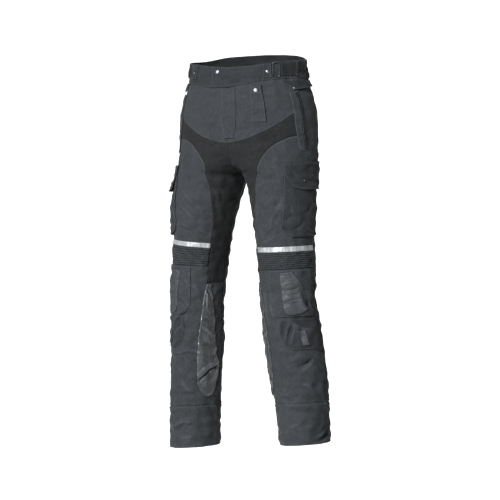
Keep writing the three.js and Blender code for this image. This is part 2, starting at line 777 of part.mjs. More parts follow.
function addStud(name, radius, side, angle, z, lift, liftAt = () => 0) {
  const mesh = addPiece(name, studCap(radius, 2.4), "steel");
  seatOn(mesh, side, angle, z, (a, h) => lift + liftAt(a, h));
}

// Rectangular wire loop of the waist adjuster
const ringWide = 21;
const ringTall = 44;
const ringWire = 3;

function adjusterRing() {
  const outline = new THREE.Shape();
  outline.moveTo(-ringWide / 2, -ringTall / 2);
  outline.lineTo(ringWide / 2, -ringTall / 2);
  outline.lineTo(ringWide / 2, ringTall / 2);
  outline.lineTo(-ringWide / 2, ringTall / 2);
  const hole = new THREE.Path();
  hole.moveTo(-ringWide / 2 + ringWire, -ringTall / 2 + ringWire);
  hole.lineTo(-ringWide / 2 + ringWire, ringTall / 2 - ringWire);
  hole.lineTo(ringWide / 2 - ringWire, ringTall / 2 - ringWire);
  hole.lineTo(ringWide / 2 - ringWire, -ringTall / 2 + ringWire);
  outline.holes.push(hole);
  return new THREE.ExtrudeGeometry(outline, { depth: 2.6, bevelEnabled: false });
}

// Waist adjuster: a tab with a stud, the loop, the strap behind it and its folded end
const adjusterTurn = { left: 0, right: 9 };

function addAdjuster(side) {
  const name = sideName(side);
  const turn = adjusterTurn[name];
  const middle = 1;
  const tabTop = straight([33 + turn, 19], [42.3 + turn, 19], 4);
  const tabFoot = straight([33 + turn, -20], [42.3 + turn, -20], 4);
  addPiece(`adjuster_tab_${name}`, laidPiece(side, ruledGrid(tabTop, tabFoot, 3)), "shell");
  addStud(`adjuster_stud_${name}`, 5, side, 37.5 + turn, -3, rest + layer + 0.4);
  const ring = addPiece(`adjuster_ring_${name}`, adjusterRing(), "steel");
  seatOn(ring, side, 47 + turn, middle, () => 0.6);
  const strapTop = straight([51.9 + turn, 21], [71 + turn, 21], 6);
  const strapFoot = straight([51.9 + turn, -17], [71 + turn, -17], 6);
  addPiece(`adjuster_strap_${name}`, laidPiece(side, ruledGrid(strapTop, strapFoot, 2)), "webbing");
  const endTop = straight([71.4 + turn, 23], [75.5 + turn, 23], 2);
  const endFoot = straight([71.4 + turn, -19], [75.5 + turn, -19], 2);
  addPiece(`strap_end_${name}`, laidPiece(side, ruledGrid(endTop, endFoot, 2), 2.6), "shell");
}

for (const side of [1, -1]) {
  const name = sideName(side);
  addPiece(`front_yoke_${name}`, frontYoke(side), "shell");
  addPiece(`crotch_stretch_${name}`, crotchStretch(side), "stretch");
  addPiece(`thigh_front_${name}`, thighFront(side), "shell");
  addPiece(`ribbed_band_${name}`, ribbedBand(side), "ribbed");
  addPiece(`shin_front_${name}`, shinFront(side), "shell");
  addPiece(`back_${name}`, backPanel(side), "shell");
  addPiece(`hem_${name}`, hemBand(side), "shell");
  addPiece(`pocket_welt_${name}`, pocketWelt(side), "shell");
  addPiece(`hip_flap_${name}`, hipFlap(side), "shell");
  addPiece(`cargo_pocket_${name}`, cargoPocket(side), "shell");
  addPiece(`cargo_flap_${name}`, cargoFlap(side), "shell");
  addPiece(`reflective_strip_${name}`, reflectiveStrip(side), "reflective");
  addPiece(`knee_cup_${name}`, kneeCup(side), "shell");
  addPiece(`knee_patch_${name}`, kneePatch(side), "grip");
  addPiece(`knee_lower_${name}`, kneeLower(side), "shell");
  addPiece(`knee_small_patch_${name}`, kneeSmallPatch(side), "grip");
  addPiece(`calf_grip_${name}`, calfGrip(side), "grip");
  const onFlap = (angle, z) => flapLift(side, angle, z);
  addStud(`cargo_stud_${name}`, 5, side, 66 + pocketTurn[name], -312, rest + layer + 0.5, onFlap);
  addStud(`hip_rivet_${name}`, 3, side, 65, -53, rest + layer + 1.6);
  addAdjuster(side);
}
addPiece("waistband_left", waistbandLeft(), "shell");
addPiece("waistband_right", waistbandRight(), "shell");
addPiece("waistband_back", waistbandBack(), "shell");
addPiece("fly_placket", flyPlacket(), "shell");
addPiece("front_tab", frontTab(), "shell");
addStud("front_tab_stud", 6.5, 1, 25.4, -54, rest + 1.2 + 0.4);
addStud("lap_stud", 6, -1, 12, 0, wall + rest + 0.4);

export default trousers;
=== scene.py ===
# Motorcycle trousers, filled out as when worn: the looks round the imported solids.
# The tables are in millimetres, and every mesh is made in metres. The front faces -Y and the
# wearer's left is +X. On the cloth, angle 0 is the front, 90 the outer side and 180 the back.
import math

import bpy
import numpy as np
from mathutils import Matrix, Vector


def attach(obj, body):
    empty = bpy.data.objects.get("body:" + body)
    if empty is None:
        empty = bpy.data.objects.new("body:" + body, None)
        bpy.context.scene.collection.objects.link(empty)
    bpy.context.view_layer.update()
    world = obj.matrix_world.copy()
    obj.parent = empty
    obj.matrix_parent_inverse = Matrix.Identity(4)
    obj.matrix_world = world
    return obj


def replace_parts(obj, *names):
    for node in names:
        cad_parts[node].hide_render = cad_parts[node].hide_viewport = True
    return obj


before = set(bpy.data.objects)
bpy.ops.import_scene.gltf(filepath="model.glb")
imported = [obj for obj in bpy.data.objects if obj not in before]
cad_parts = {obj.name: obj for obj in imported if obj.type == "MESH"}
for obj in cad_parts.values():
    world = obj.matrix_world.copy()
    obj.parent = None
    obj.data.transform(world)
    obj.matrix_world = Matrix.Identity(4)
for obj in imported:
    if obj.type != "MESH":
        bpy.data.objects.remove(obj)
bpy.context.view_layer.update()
mm = 0.001

# Camera: the photograph's angle, with a very long lens, because the photograph shows no perspective
view = {"azimuth": 27, "elevation": 3, "distance": 60.0, "field": 1.4, "sensor": 36.0, "drop": 0.504,
        "aside": 0.0028, "far": 300}
# Studio: each soft far light's azimuth and elevation, spread in degrees, power and colour
lights = {
    "key": {"azimuth": 0, "elevation": 27, "spread": 13, "power": 12.9, "colour": (1.0, 1.0, 0.985)},
    "rear": {"azimuth": -158, "elevation": 26, "spread": 40, "power": 2.0, "colour": (0.97, 0.99, 1.0)},
}
# The cloth gets the world's faint light, and the camera sees it as a white room past the floor
studio = {"floor": -1.65, "floorHalf": 75.0, "world": 0.11, "seen": 3.0, "lightsAt": 4}


def turned(azimuth, elevation):
    # Unit vector from the object to a viewer at that azimuth and elevation
    a, e = math.radians(azimuth), math.radians(elevation)
    return Vector((math.sin(a) * math.cos(e), -math.cos(a) * math.cos(e), math.sin(e)))


def place(name, data, at, facing):
    # A camera or light at a place, looking along a direction
    thing = bpy.data.objects.new(name, data)
    thing.location = at
    thing.rotation_mode = "QUATERNION"
    thing.rotation_quaternion = facing.to_track_quat("-Z", "Y")
    bpy.context.scene.collection.objects.link(thing)
    return thing


def addCamera():
    a, e = math.radians(view["azimuth"]), math.radians(view["elevation"])
    across = Vector((math.cos(a), math.sin(a), 0))
    upward = Vector((-math.sin(a) * math.sin(e), math.cos(a) * math.sin(e), math.cos(e)))
    target = across * view["aside"] - upward * view["drop"]
    data = bpy.data.cameras.new("camera")
    data.sensor_width = view["sensor"]
    data.lens = view["sensor"] * view["distance"] / view["field"]
    data.clip_end = view["far"]
    toViewer = turned(view["azimuth"], view["elevation"])
    bpy.context.scene.camera = place("camera", data, target + toViewer * view["distance"], -toViewer)


def addLights():
    for name, one in lights.items():
        data = bpy.data.lights.new(name, "SUN")
        data.energy, data.angle, data.color = one["power"], math.radians(one["spread"]), one["colour"]
        toLight = turned(one["azimuth"], one["elevation"])
        place(name, data, toLight * studio["lightsAt"], -toLight)
    bpy.context.scene.view_settings.view_transform = "Standard"


# Materials

def linear(hexColour):
    # Each sRGB channel: divided by 12.92 below 0.04045, otherwise the 2.4 power of its shifted value
    channels = [int(hexColour[k:k + 2], 16) / 255 for k in (1, 3, 5)]
    return [c / 12.92 if c <= 0.04045 else ((c + 0.055) / 1.055) ** 2.4 for c in channels] + [1.0]


def give(tree, node, settings):
    # Each socket is linked, each hex colour becomes linear, and any other value is set as it is
    for key, value in settings.items():
        if isinstance(value, bpy.types.NodeSocket):
            tree.links.new(value, node.inputs[key])
        elif isinstance(value, str) and value.startswith("#"):
            node.inputs[key].default_value = linear(value)
        elif isinstance(key, int) or key in node.inputs:
            node.inputs[key].default_value = value
        else:
            setattr(node, key, value)


def addNode(tree, kind, settings):
    node = tree.nodes.new("ShaderNode" + kind)
    give(tree, node, settings)
    return node.outputs


def newTree(name):
    material = bpy.data.materials.new(name)
    material.use_nodes = True
    return material.node_tree


def addWorld():
    world = bpy.data.worlds.new("softRoom")
    world.use_nodes = True
    tree = world.node_tree
    rays = addNode(tree, "LightPath", {})["Is Camera Ray"]
    strength = {"operation": "MULTIPLY_ADD", 0: rays, 1: studio["seen"], 2: studio["world"]}
    give(tree, tree.nodes["Background"], {0: (1, 1, 1, 1), 1: addNode(tree, "Math", strength)[0]})
    bpy.context.scene.world = world


addCamera()
addLights()
addWorld()
print("camera and lights made")


def finished(name, tree, settings):
    give(tree, tree.nodes["Principled BSDF"], settings)
    return bpy.data.materials[name]


def noiseAt(tree, size, detail=3.0, stretch=(1, 1, 1)):
    # Noise whose patches are about size millimetres across
    spot = addNode(tree, "TexCoord", {})["Object"]
    spread = addNode(tree, "Mapping", {"Scale": stretch, "Vector": spot})[0]
    settings = {"Scale": 1 / (size * mm), "Detail": detail, "Roughness": 0.6, "Vector": spread}
    return addNode(tree, "TexNoise", settings)["Fac"]


def span(low, high, toLow, toHigh):
    # The settings that take values from low to high on to values from toLow to toHigh
    return {"From Min": low, "From Max": high, "To Min": toLow, "To Max": toHigh}


def tone(tree, size, detail, reach, stretch=(1, 1, 1)):
    # Noise of that size, spread out to the values that its material uses
    return addNode(tree, "MapRange", {"Value": noiseAt(tree, size, detail, stretch), **reach})[0]


def shaded(tree, colour, value):
    # The colour multiplied by a grey of that value
    grey = addNode(tree, "CombineColor", {"Red": value, "Green": value, "Blue": value})[0]
    mixed = {"data_type": "RGBA", "blend_type": "MULTIPLY", 0: 1.0, 6: colour, 7: grey}
    return addNode(tree, "Mix", mixed)[2]


def threadHeight(tree, spacing, lay):
    # Height of the threads on the cloth's own map: plain weave is the product of two sines one
    # thread apart, twill the sine of their sum, and ribs the sine across alone
    rate = math.pi / (spacing * mm)
    spot = addNode(tree, "UVMap", {"uv_map": "cloth"})[0]
    sized = addNode(tree, "VectorMath", {"operation": "MULTIPLY", 0: spot, 1: (rate, rate, 0)})[0]
    parts = addNode(tree, "SeparateXYZ", {0: sized})
    if lay == "plain":
        waves = [addNode(tree, "Math", {"operation": "SINE", 0: parts[k]})[0] for k in (0, 1)]
        return addNode(tree, "Math", {"operation": "MULTIPLY", 0: waves[0], 1: waves[1]})[0]
    summed = parts[1]
    if lay == "twill":
        summed = addNode(tree, "Math", {"operation": "ADD", 0: parts[0], 1: parts[1]})[0]
    return addNode(tree, "Math", {"operation": "SINE", 0: summed})[0]


def wovenMaterial(name, cloth):
    # Matt woven cloth: painted shade in its weave, darker where the threads lie low than on their crests, uneven
    # dye, small slubs, and lighter where rubbed and where a painted highlight falls on edges, ribs and crease ridges
    tree = newTree(name)
    threads = threadHeight(tree, cloth["thread"], cloth["lay"])
    # Painted shade of the weave: the hollows between the threads take the deep colour, their crests the lit one
    shade = addNode(tree, "MapRange", {"Value": threads, **span(-1, 1, 0.25, 0.75)})[0]
    colour = addNode(tree, "Mix", {"data_type": "RGBA", 0: shade, 6: cloth["deep"], 7: cloth["lit"]})[2]
    colour = shaded(tree, colour, tone(tree, 2.6, 2, span(0.35, 0.65, 0.74, 1.22), cloth["grainStretch"]))
    colour = shaded(tree, colour, tone(tree, 34, 4, span(0.3, 0.7, 0.88, 1.1)))
    fade = tone(tree, 210, 2, span(0.35, 0.65, 0.0, 0.22))
    colour = addNode(tree, "Mix", {"data_type": "RGBA", 0: fade, 6: colour, 7: cloth["faded"]})[2]
    # Lighter where the edges are rubbed, and a painted highlight on raised edges, ribs and crease ridges
    wearAndHighlight = addNode(tree, "Attribute", {"attribute_name": "wearAndHighlight"})["Fac"]
    broken = tone(tree, 5, 3, span(0.35, 0.6, 0.35, 1.0))
    worn = addNode(tree, "Math", {"operation": "MULTIPLY", "use_clamp": True, 0: wearAndHighlight, 1: broken})[0]
    colour = addNode(tree, "Mix", {"data_type": "RGBA", 0: worn, 6: colour, 7: cloth["worn"]})[2]
    rough = tone(tree, 12, 2, span(0.3, 0.7, cloth["rough"] - 0.06, cloth["rough"] + 0.06))
    weave = {"Distance": 0.25 * mm, "Strength": cloth["weaveBump"], "Height": threads}
    slubs = {"Distance": 0.9 * mm, "Strength": 0.35, "Height": noiseAt(tree, 9, 3, cloth["grainStretch"]),
             "Normal": addNode(tree, "Bump", weave)[0]}
    return finished(name, tree, {
        "Base Color": colour, "Roughness": rough, "Normal": addNode(tree, "Bump", slubs)[0],
        "Specular IOR Level": 0.08, "Sheen Weight": cloth["sheen"], "Sheen Roughness": 0.5})


def gripMaterial(name, leather):
    # Embossed grain leather: pebbles of 1.6 mm are drawn at 2.6 mm, so that they show, over crinkles where it bends.
    # Painted shade darkens it between the pebbles and in the crinkles' hollows, and lights their ridges; it is also
    # lighter where rubbed and where a painted highlight falls on edges and crease ridges
    tree = newTree(name)
    spot = addNode(tree, "TexCoord", {})["Object"]
    size = {"Scale": 1 / (leather["pebble"] * mm), "feature": "F1", "Vector": spot}
    pebbles = addNode(tree, "TexVoronoi", size)["Distance"]
    height = addNode(tree, "MapRange", {"Value": pebbles, **span(0.0, 0.75, 1.0, 0.0)})[0]
    # Painted shade between the pebbles: darker where the grain lies low
    shade = addNode(tree, "MapRange", {"Value": height, **span(0.2, 0.9, 0, 1)})[0]
    colour = addNode(tree, "Mix", {"data_type": "RGBA", 0: shade, 6: leather["deep"], 7: leather["lit"]})[2]
    crinkle = noiseAt(tree, leather["crinkle"], 4, (1, 1, 0.6))
    # Painted light and shade on the crinkles, as strong as uneven: lighter on their ridges, darker in their hollows
    ridges = addNode(tree, "MapRange", {"Value": crinkle, **span(0.4, 0.62, 0.7, 1.35)})[0]
    uneven = {"data_type": "RGBA", 0: leather["uneven"], 6: colour, 7: shaded(tree, colour, ridges)}
    # Lighter where rubbed, and a painted highlight on raised edges and crease ridges
    wearAndHighlight = addNode(tree, "Attribute", {"attribute_name": "wearAndHighlight"})["Fac"]
    worn = {"data_type": "RGBA", 0: wearAndHighlight, 6: addNode(tree, "Mix", uneven)[2], 7: leather["worn"]}
    shine = {"Value": ridges, **span(0.7, 1.35, leather["rough"] + 0.12, leather["rough"] - 0.08)}
    grain = {"Distance": 0.3 * mm, "Strength": 0.35, "Height": height}
    bent = {"Distance": leather["deepest"] * mm, "Strength": 0.7, "Height": crinkle,
            "Normal": addNode(tree, "Bump", grain)[0]}
    return finished(name, tree, {
        "Base Color": addNode(tree, "Mix", worn)[2], "Roughness": addNode(tree, "MapRange", shine)[0],
        "Normal": addNode(tree, "Bump", bent)[0], "Specular IOR Level": leather["gloss"]})


def tapeMaterial(name):
    # Silver glass-bead tape: bright, even and faintly sparkling, a little dull where it bends
    tree = newTree(name)
    colour = shaded(tree, "#6f7173", tone(tree, 1.4, 1, span(0.3, 0.7, 0.9, 1.06)))
    dull = tone(tree, 26, 4, span(0.4, 0.7, 0.0, 0.18))
    soft = {"Distance": 0.4 * mm, "Strength": 0.3, "Height": noiseAt(tree, 8, 3)}
    return finished(name, tree, {
        "Base Color": addNode(tree, "Mix", {"data_type": "RGBA", 0: dull, 6: colour, 7: "#56585a"})[2],
        "Roughness": addNode(tree, "MapRange", {"Value": dull, **span(0, 0.18, 0.45, 0.55)})[0],
        "Normal": addNode(tree, "Bump", soft)[0], "Metallic": 0.25, "Specular IOR Level": 0.5})


def steelMaterial(name):
    # Nickel-plated steel, dark satin, with faint rubbing marks, and a painted glint: a bright colour on a cap's dome
    tree = newTree(name)
    dull = tone(tree, 7, 4, span(0.35, 0.7, 0.0, 1.0))
    satin = addNode(tree, "Mix", {"data_type": "RGBA", 0: dull, 6: "#3c3f42", 7: "#26282b"})[2]
    # A painted glint: the cap's dome takes a bright colour
    paintedGlint = addNode(tree, "Attribute", {"attribute_name": "wearAndHighlight"})["Fac"]
    return finished(name, tree, {
        "Base Color": addNode(tree, "Mix", {"data_type": "RGBA", 0: paintedGlint, 6: satin, 7: "#a9acaf"})[2],
        "Roughness": addNode(tree, "MapRange", {"Value": paintedGlint, **span(0, 1, 0.42, 0.5)})[0],
        "Metallic": 1.0})


def coilMaterial(name):
    # Moulded polyamide zip coil, black with a soft shine
    tree = newTree(name)
    shade = tone(tree, 2, 2, span(0.3, 0.7, 0, 1))
    return finished(name, tree, {
        "Base Color": addNode(tree, "Mix", {"data_type": "RGBA", 0: shade, 6: "#0b0c0d", 7: "#17181a"})[2],
        "Roughness": addNode(tree, "MapRange", {"Value": shade, **span(0, 1, 0.35, 0.5)})[0],
        "Specular IOR Level": 0.5})


def floorMaterial(name):
    # Matt pale board, very slightly uneven
    tree = newTree(name)
    shade = tone(tree, 900, 2, span(0.3, 0.7, 0, 1))
    return finished(name, tree, {
        "Base Color": addNode(tree, "Mix", {"data_type": "RGBA", 0: shade, 6: "#d0d0d0", 7: "#d6d6d6"})[2],
        "Specular IOR Level": 0.1, "Roughness": 0.9})


# Threads finer than about 1 mm would not show, so each spacing is drawn about twice its real size
# deep is the painted shade in the weave's hollows and lit its crests; worn is the colour of wear and painted
# highlight
cloths = {
    "polyamide": {
        "deep": "#111315", "lit": "#25282b", "faded": "#272a2d", "worn": "#404348",
        "thread": 0.9, "lay": "plain", "sheen": 0.02, "rough": 0.8, "weaveBump": 0.5, "grainStretch": (1, 1, 0.35)},
    # A darker copy of the polyamide: painted shade for the pockets and flaps at the leg's side
    "darkerPolyamide": {
        "deep": "#0d0f11", "lit": "#1e2023", "faded": "#202225", "worn": "#3a3d42",
        "thread": 0.9, "lay": "plain", "sheen": 0.02, "rough": 0.8, "weaveBump": 0.5, "grainStretch": (1, 1, 0.35)},
    "stretch": {
        "deep": "#0b0c0d", "lit": "#171819", "faded": "#18191b", "worn": "#26282b",
        "thread": 0.8, "lay": "twill", "sheen": 0.01, "rough": 0.86, "weaveBump": 0.35, "grainStretch": (1, 1, 0.6)},
    "ribbed": {
        "deep": "#050607", "lit": "#0e0f10", "faded": "#0e0f10", "worn": "#2d3033",
        "thread": 0.9, "lay": "plain", "sheen": 0.02, "rough": 0.82, "weaveBump": 0.4, "grainStretch": (1, 1, 1)},
    "webbing": {
        "deep": "#0a0b0c", "lit": "#16181a", "faded": "#16181a", "worn": "#2e3135",
        "thread": 1.3, "lay": "ribs", "sheen": 0.02, "rough": 0.7, "weaveBump": 0.8, "grainStretch": (1, 1, 1)},
    "thread": {
        "deep": "#26282b", "lit": "#383b3f", "faded": "#34373b", "worn": "#45484d",
        "thread": 0.6, "lay": "twill", "sheen": 0.02, "rough": 0.6, "weaveBump": 0.2, "grainStretch": (1, 1, 1)},
}
# deep and lit paint shade and light on the pebbles; uneven sets the painted light and shade on the crinkles
leathers = {
    # worn is the colour of wear and painted highlight
    "calf": {"deep": "#131517", "lit": "#303336", "worn": "#4d5055", "pebble": 2.6, "crinkle": 8,
             "uneven": 0.9, "deepest": 3.6, "gloss": 0.5, "rough": 0.38},
    "knee": {"deep": "#1a1c1f", "lit": "#292c2f", "worn": "#3c3f44", "pebble": 2.2, "crinkle": 16,
             "uneven": 0.35, "deepest": 0.8, "gloss": 0.25, "rough": 0.6},
}
materials = {
    "shell_cloth": wovenMaterial("wovenPolyamide", cloths["polyamide"]),
    # The darker copy, on the waistband, hip flaps, pockets, flaps, lower knees and strap pieces: painted shade at
    # the side
    "shell_darker": wovenMaterial("wovenPolyamideDarker", cloths["darkerPolyamide"]),
    "stretch_cloth": wovenMaterial("stretchTwill", cloths["stretch"]),
    "ribbed_cloth": wovenMaterial("ribbedStretch", cloths["ribbed"]),
    "webbing": wovenMaterial("wovenWebbing", cloths["webbing"]),
    "thread": wovenMaterial("polyesterThread", cloths["thread"]),
    "grip_leather": gripMaterial("embossedGripLeather", leathers["calf"]),
    "patch_leather": gripMaterial("embossedPatchLeather", leathers["knee"]),
    "reflective_tape": tapeMaterial("glassBeadTape"),
    "steel": steelMaterial("nickelPlatedSteel"),
    "coil": coilMaterial("mouldedZipCoil"),
    "floor": floorMaterial("mattPaleBoard"),
}
print("materials made:", len(materials))


# The worn form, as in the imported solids

cut = {
    "wall": 1.2, "rest": 0.7, "layer": 1.5, "tuck": 2.5, "hipTilt": 0.044, "forkTop": -200, "crotch": -285,
    "partingPower": 1.5, "stretchEnd": -591, "hemSeam": -936, "hemEdge": -1050,
    "bandInner": -47, "sideEnd": 96}
torsoSections = {
    "z": [60, 0, -40, -84, -126, -168, -200, -240, -285],
    "outer": [171, 174, 180, 193.5, 202, 204, 204.5, 205, 205],
    "front": [-117, -121, -125, -129, -132, -134, -134, -131, -127],
    "back": [111, 115, 120, 128, 136, 140, 139, 128, 108]}
legSections = {
    "z": [-285, -300, -330, -364, -465, -554, -644, -756, -868, -980, -1060],
    "middle": [102.5, 106, 112, 119, 128, 136, 142, 150.5, 162, 170, 172.5],
    "right": [102.5, 98, 95.5, 92.5, 79.5, 75.5, 70, 71.5, 69, 69, 67],
    "left": [102.5, 97, 93, 89.5, 81, 79, 76, 81.5, 79.5, 72, 68],
    "front": [-127, -125, -124, -124, -121, -119, -116, -104, -91, -78, -71],
    "back": [108, 99, 87, 76, 59, 53, 50, 64, 73, 82, 87]}
sideSeamRows = {
    "z": [60, -114, -184, -300, -370, -420, -474, -1060],
    "angle": [69, 69, 72, 81, 89, 94, 96, 96]}
innerSeamRows = {"z": [-285, -330, -400, -1060], "angle": [-90, -96, -97, -97]}
bandEdges = {
    "angle": [0, 16, 28, 42, 68, 110, 145, 180],
    "top": [13, 15, 18, 22, 25, 25, 35, 38],
    "left": [-43, -37, -30, -27, -26, -30, -32, -32],
    "right": [-44, -44, -41, -35, -30, -30, -32, -32]}
yokeSeam = {"angle": [69, 57, 46, 35, 24, 15, 7, 0], "z": [-114, -128, -147, -164, -180, -191, -197, -200]}
thighEdge = {
    "z": [-184, -188, -196, -206, -213, -220, -228, -236, -245, -254, -265, -276, -290, -304, -322, -347, -372,
          -400, -432],
    "left": [72, 56, 47.5, 40, 35.5, 31.3, 27, 22.3, 17, 11.5, 5, -1.8, -8.5, -13.7, -18, -23, -29, -34.5, -41],
    "right": [72, 49, 41, 35, 30.5, 26, 20.7, 15, 8.6, 2.3, -5, -11.5, -17.5, -22.5, -28, -33, -38, -42, -45]}
thighSide = {
    "left": [-184, -229, -265, -300, -335, -370, -420, -447, -474, -510],
    "right": [-184, -229, -265, -300, -335, -370, -395, -420, -447, -474]}
innerLeg = [-300, -330, -370, -420, -474, -520, -556, -591]
frontRise = [0, 6, 14, 25, 37, 50, 63, 77, 90]
backRise = [0, 10, 26, 44, 65, 90]
kneeBands = {
    "left": {"stripTop": (-494, -494), "ribTop": (-510, -510), "ribEnd": (-558, -555), "middle": -628},
    "right": {"stripTop": (-480, -459), "ribTop": (-495, -474), "ribEnd": (-544, -529), "middle": -612}}
sideNames = {1: "left", -1: "right"}


def smoothAt(x, y, at):
    # Monotone cubic through the points: each tangent is the harmonic mean of the slopes beside it
    x, y = np.asarray(x, float), np.asarray(y, float)
    if x[0] > x[-1]:
        x, y = x[::-1], y[::-1]
    t = np.clip(at, x[0], x[-1])
    k = np.clip(np.searchsorted(x, t, side="right") - 1, 0, len(x) - 2)
    slope = np.diff(y) / np.diff(x)
    same = slope[:-1] * slope[1:] > 0
    mean = 2 * slope[:-1] * slope[1:] / np.where(same, slope[:-1] + slope[1:], 1)
    tangent = np.concatenate([slope[:1], np.where(same, mean, 0), slope[-1:]])
    span = x[k + 1] - x[k]
    s = (t - x[k]) / span
    ease = s * s * (3 - 2 * s)
    pulls = s * (1 - s) ** 2 * tangent[k] + s * s * (s - 1) * tangent[k + 1]
    return y[k] * (1 - ease) + y[k + 1] * ease + pulls * span


def tableAt(table, column, z):
    return smoothAt(table["z"], table[column], z)


def sideSeam(z):
    return np.interp(-np.asarray(z, float), -np.array(sideSeamRows["z"], float), sideSeamRows["angle"])


def innerSeam(z):
    return tableAt(innerSeamRows, "angle", z)


def bandTop(angle):
    return smoothAt(bandEdges["angle"], bandEdges["top"], np.abs(angle))


def bandFoot(side, angle):
    return smoothAt(bandEdges["angle"], bandEdges[sideNames[side]], angle)


def riseHeight(turn):
    parting = np.sin(np.radians(turn)) ** (1 / cut["partingPower"])
    return cut["forkTop"] - (cut["forkTop"] - cut["crotch"]) * parting


def skin(side, angle, z):
    # Ellipse at each height. Below the fork its middle parts from the centre plane, by the 1.5 power
    # of the depth below it, until each leg has its own ellipse
    z = np.asarray(z, float) + 0 * angle
    depth = (cut["forkTop"] - z) / (cut["forkTop"] - cut["crotch"])
    parting = np.clip(depth, 0, 1) ** cut["partingPower"]
    torso = z > cut["crotch"]
    outer = tableAt(torsoSections, "outer", z) / (1 + parting)
    middle = np.where(torso, parting * outer, tableAt(legSections, "middle", z))
    half = np.where(torso, outer, tableAt(legSections, sideNames[side], z))
    front = np.where(torso, tableAt(torsoSections, "front", z), tableAt(legSections, "front", z))
    back = np.where(torso, tableAt(torsoSections, "back", z), tableAt(legSections, "back", z))
    turn = np.radians(angle)
    x = side * (middle + half * np.sin(turn))
    y = (front + back) / 2 - (back - front) / 2 * np.cos(turn)
    return np.stack([x, y, z], -1)


def unit(vectors):
    return vectors / np.maximum(np.linalg.norm(vectors, axis=-1, keepdims=True), 1e-9)


def skinNormal(side, angle, z):
    around = skin(side, angle + 0.4, z) - skin(side, angle - 0.4, z)
    along = skin(side, angle, z + 0.8) - skin(side, angle, z - 0.8)
    return unit(np.cross(around, along)) * side


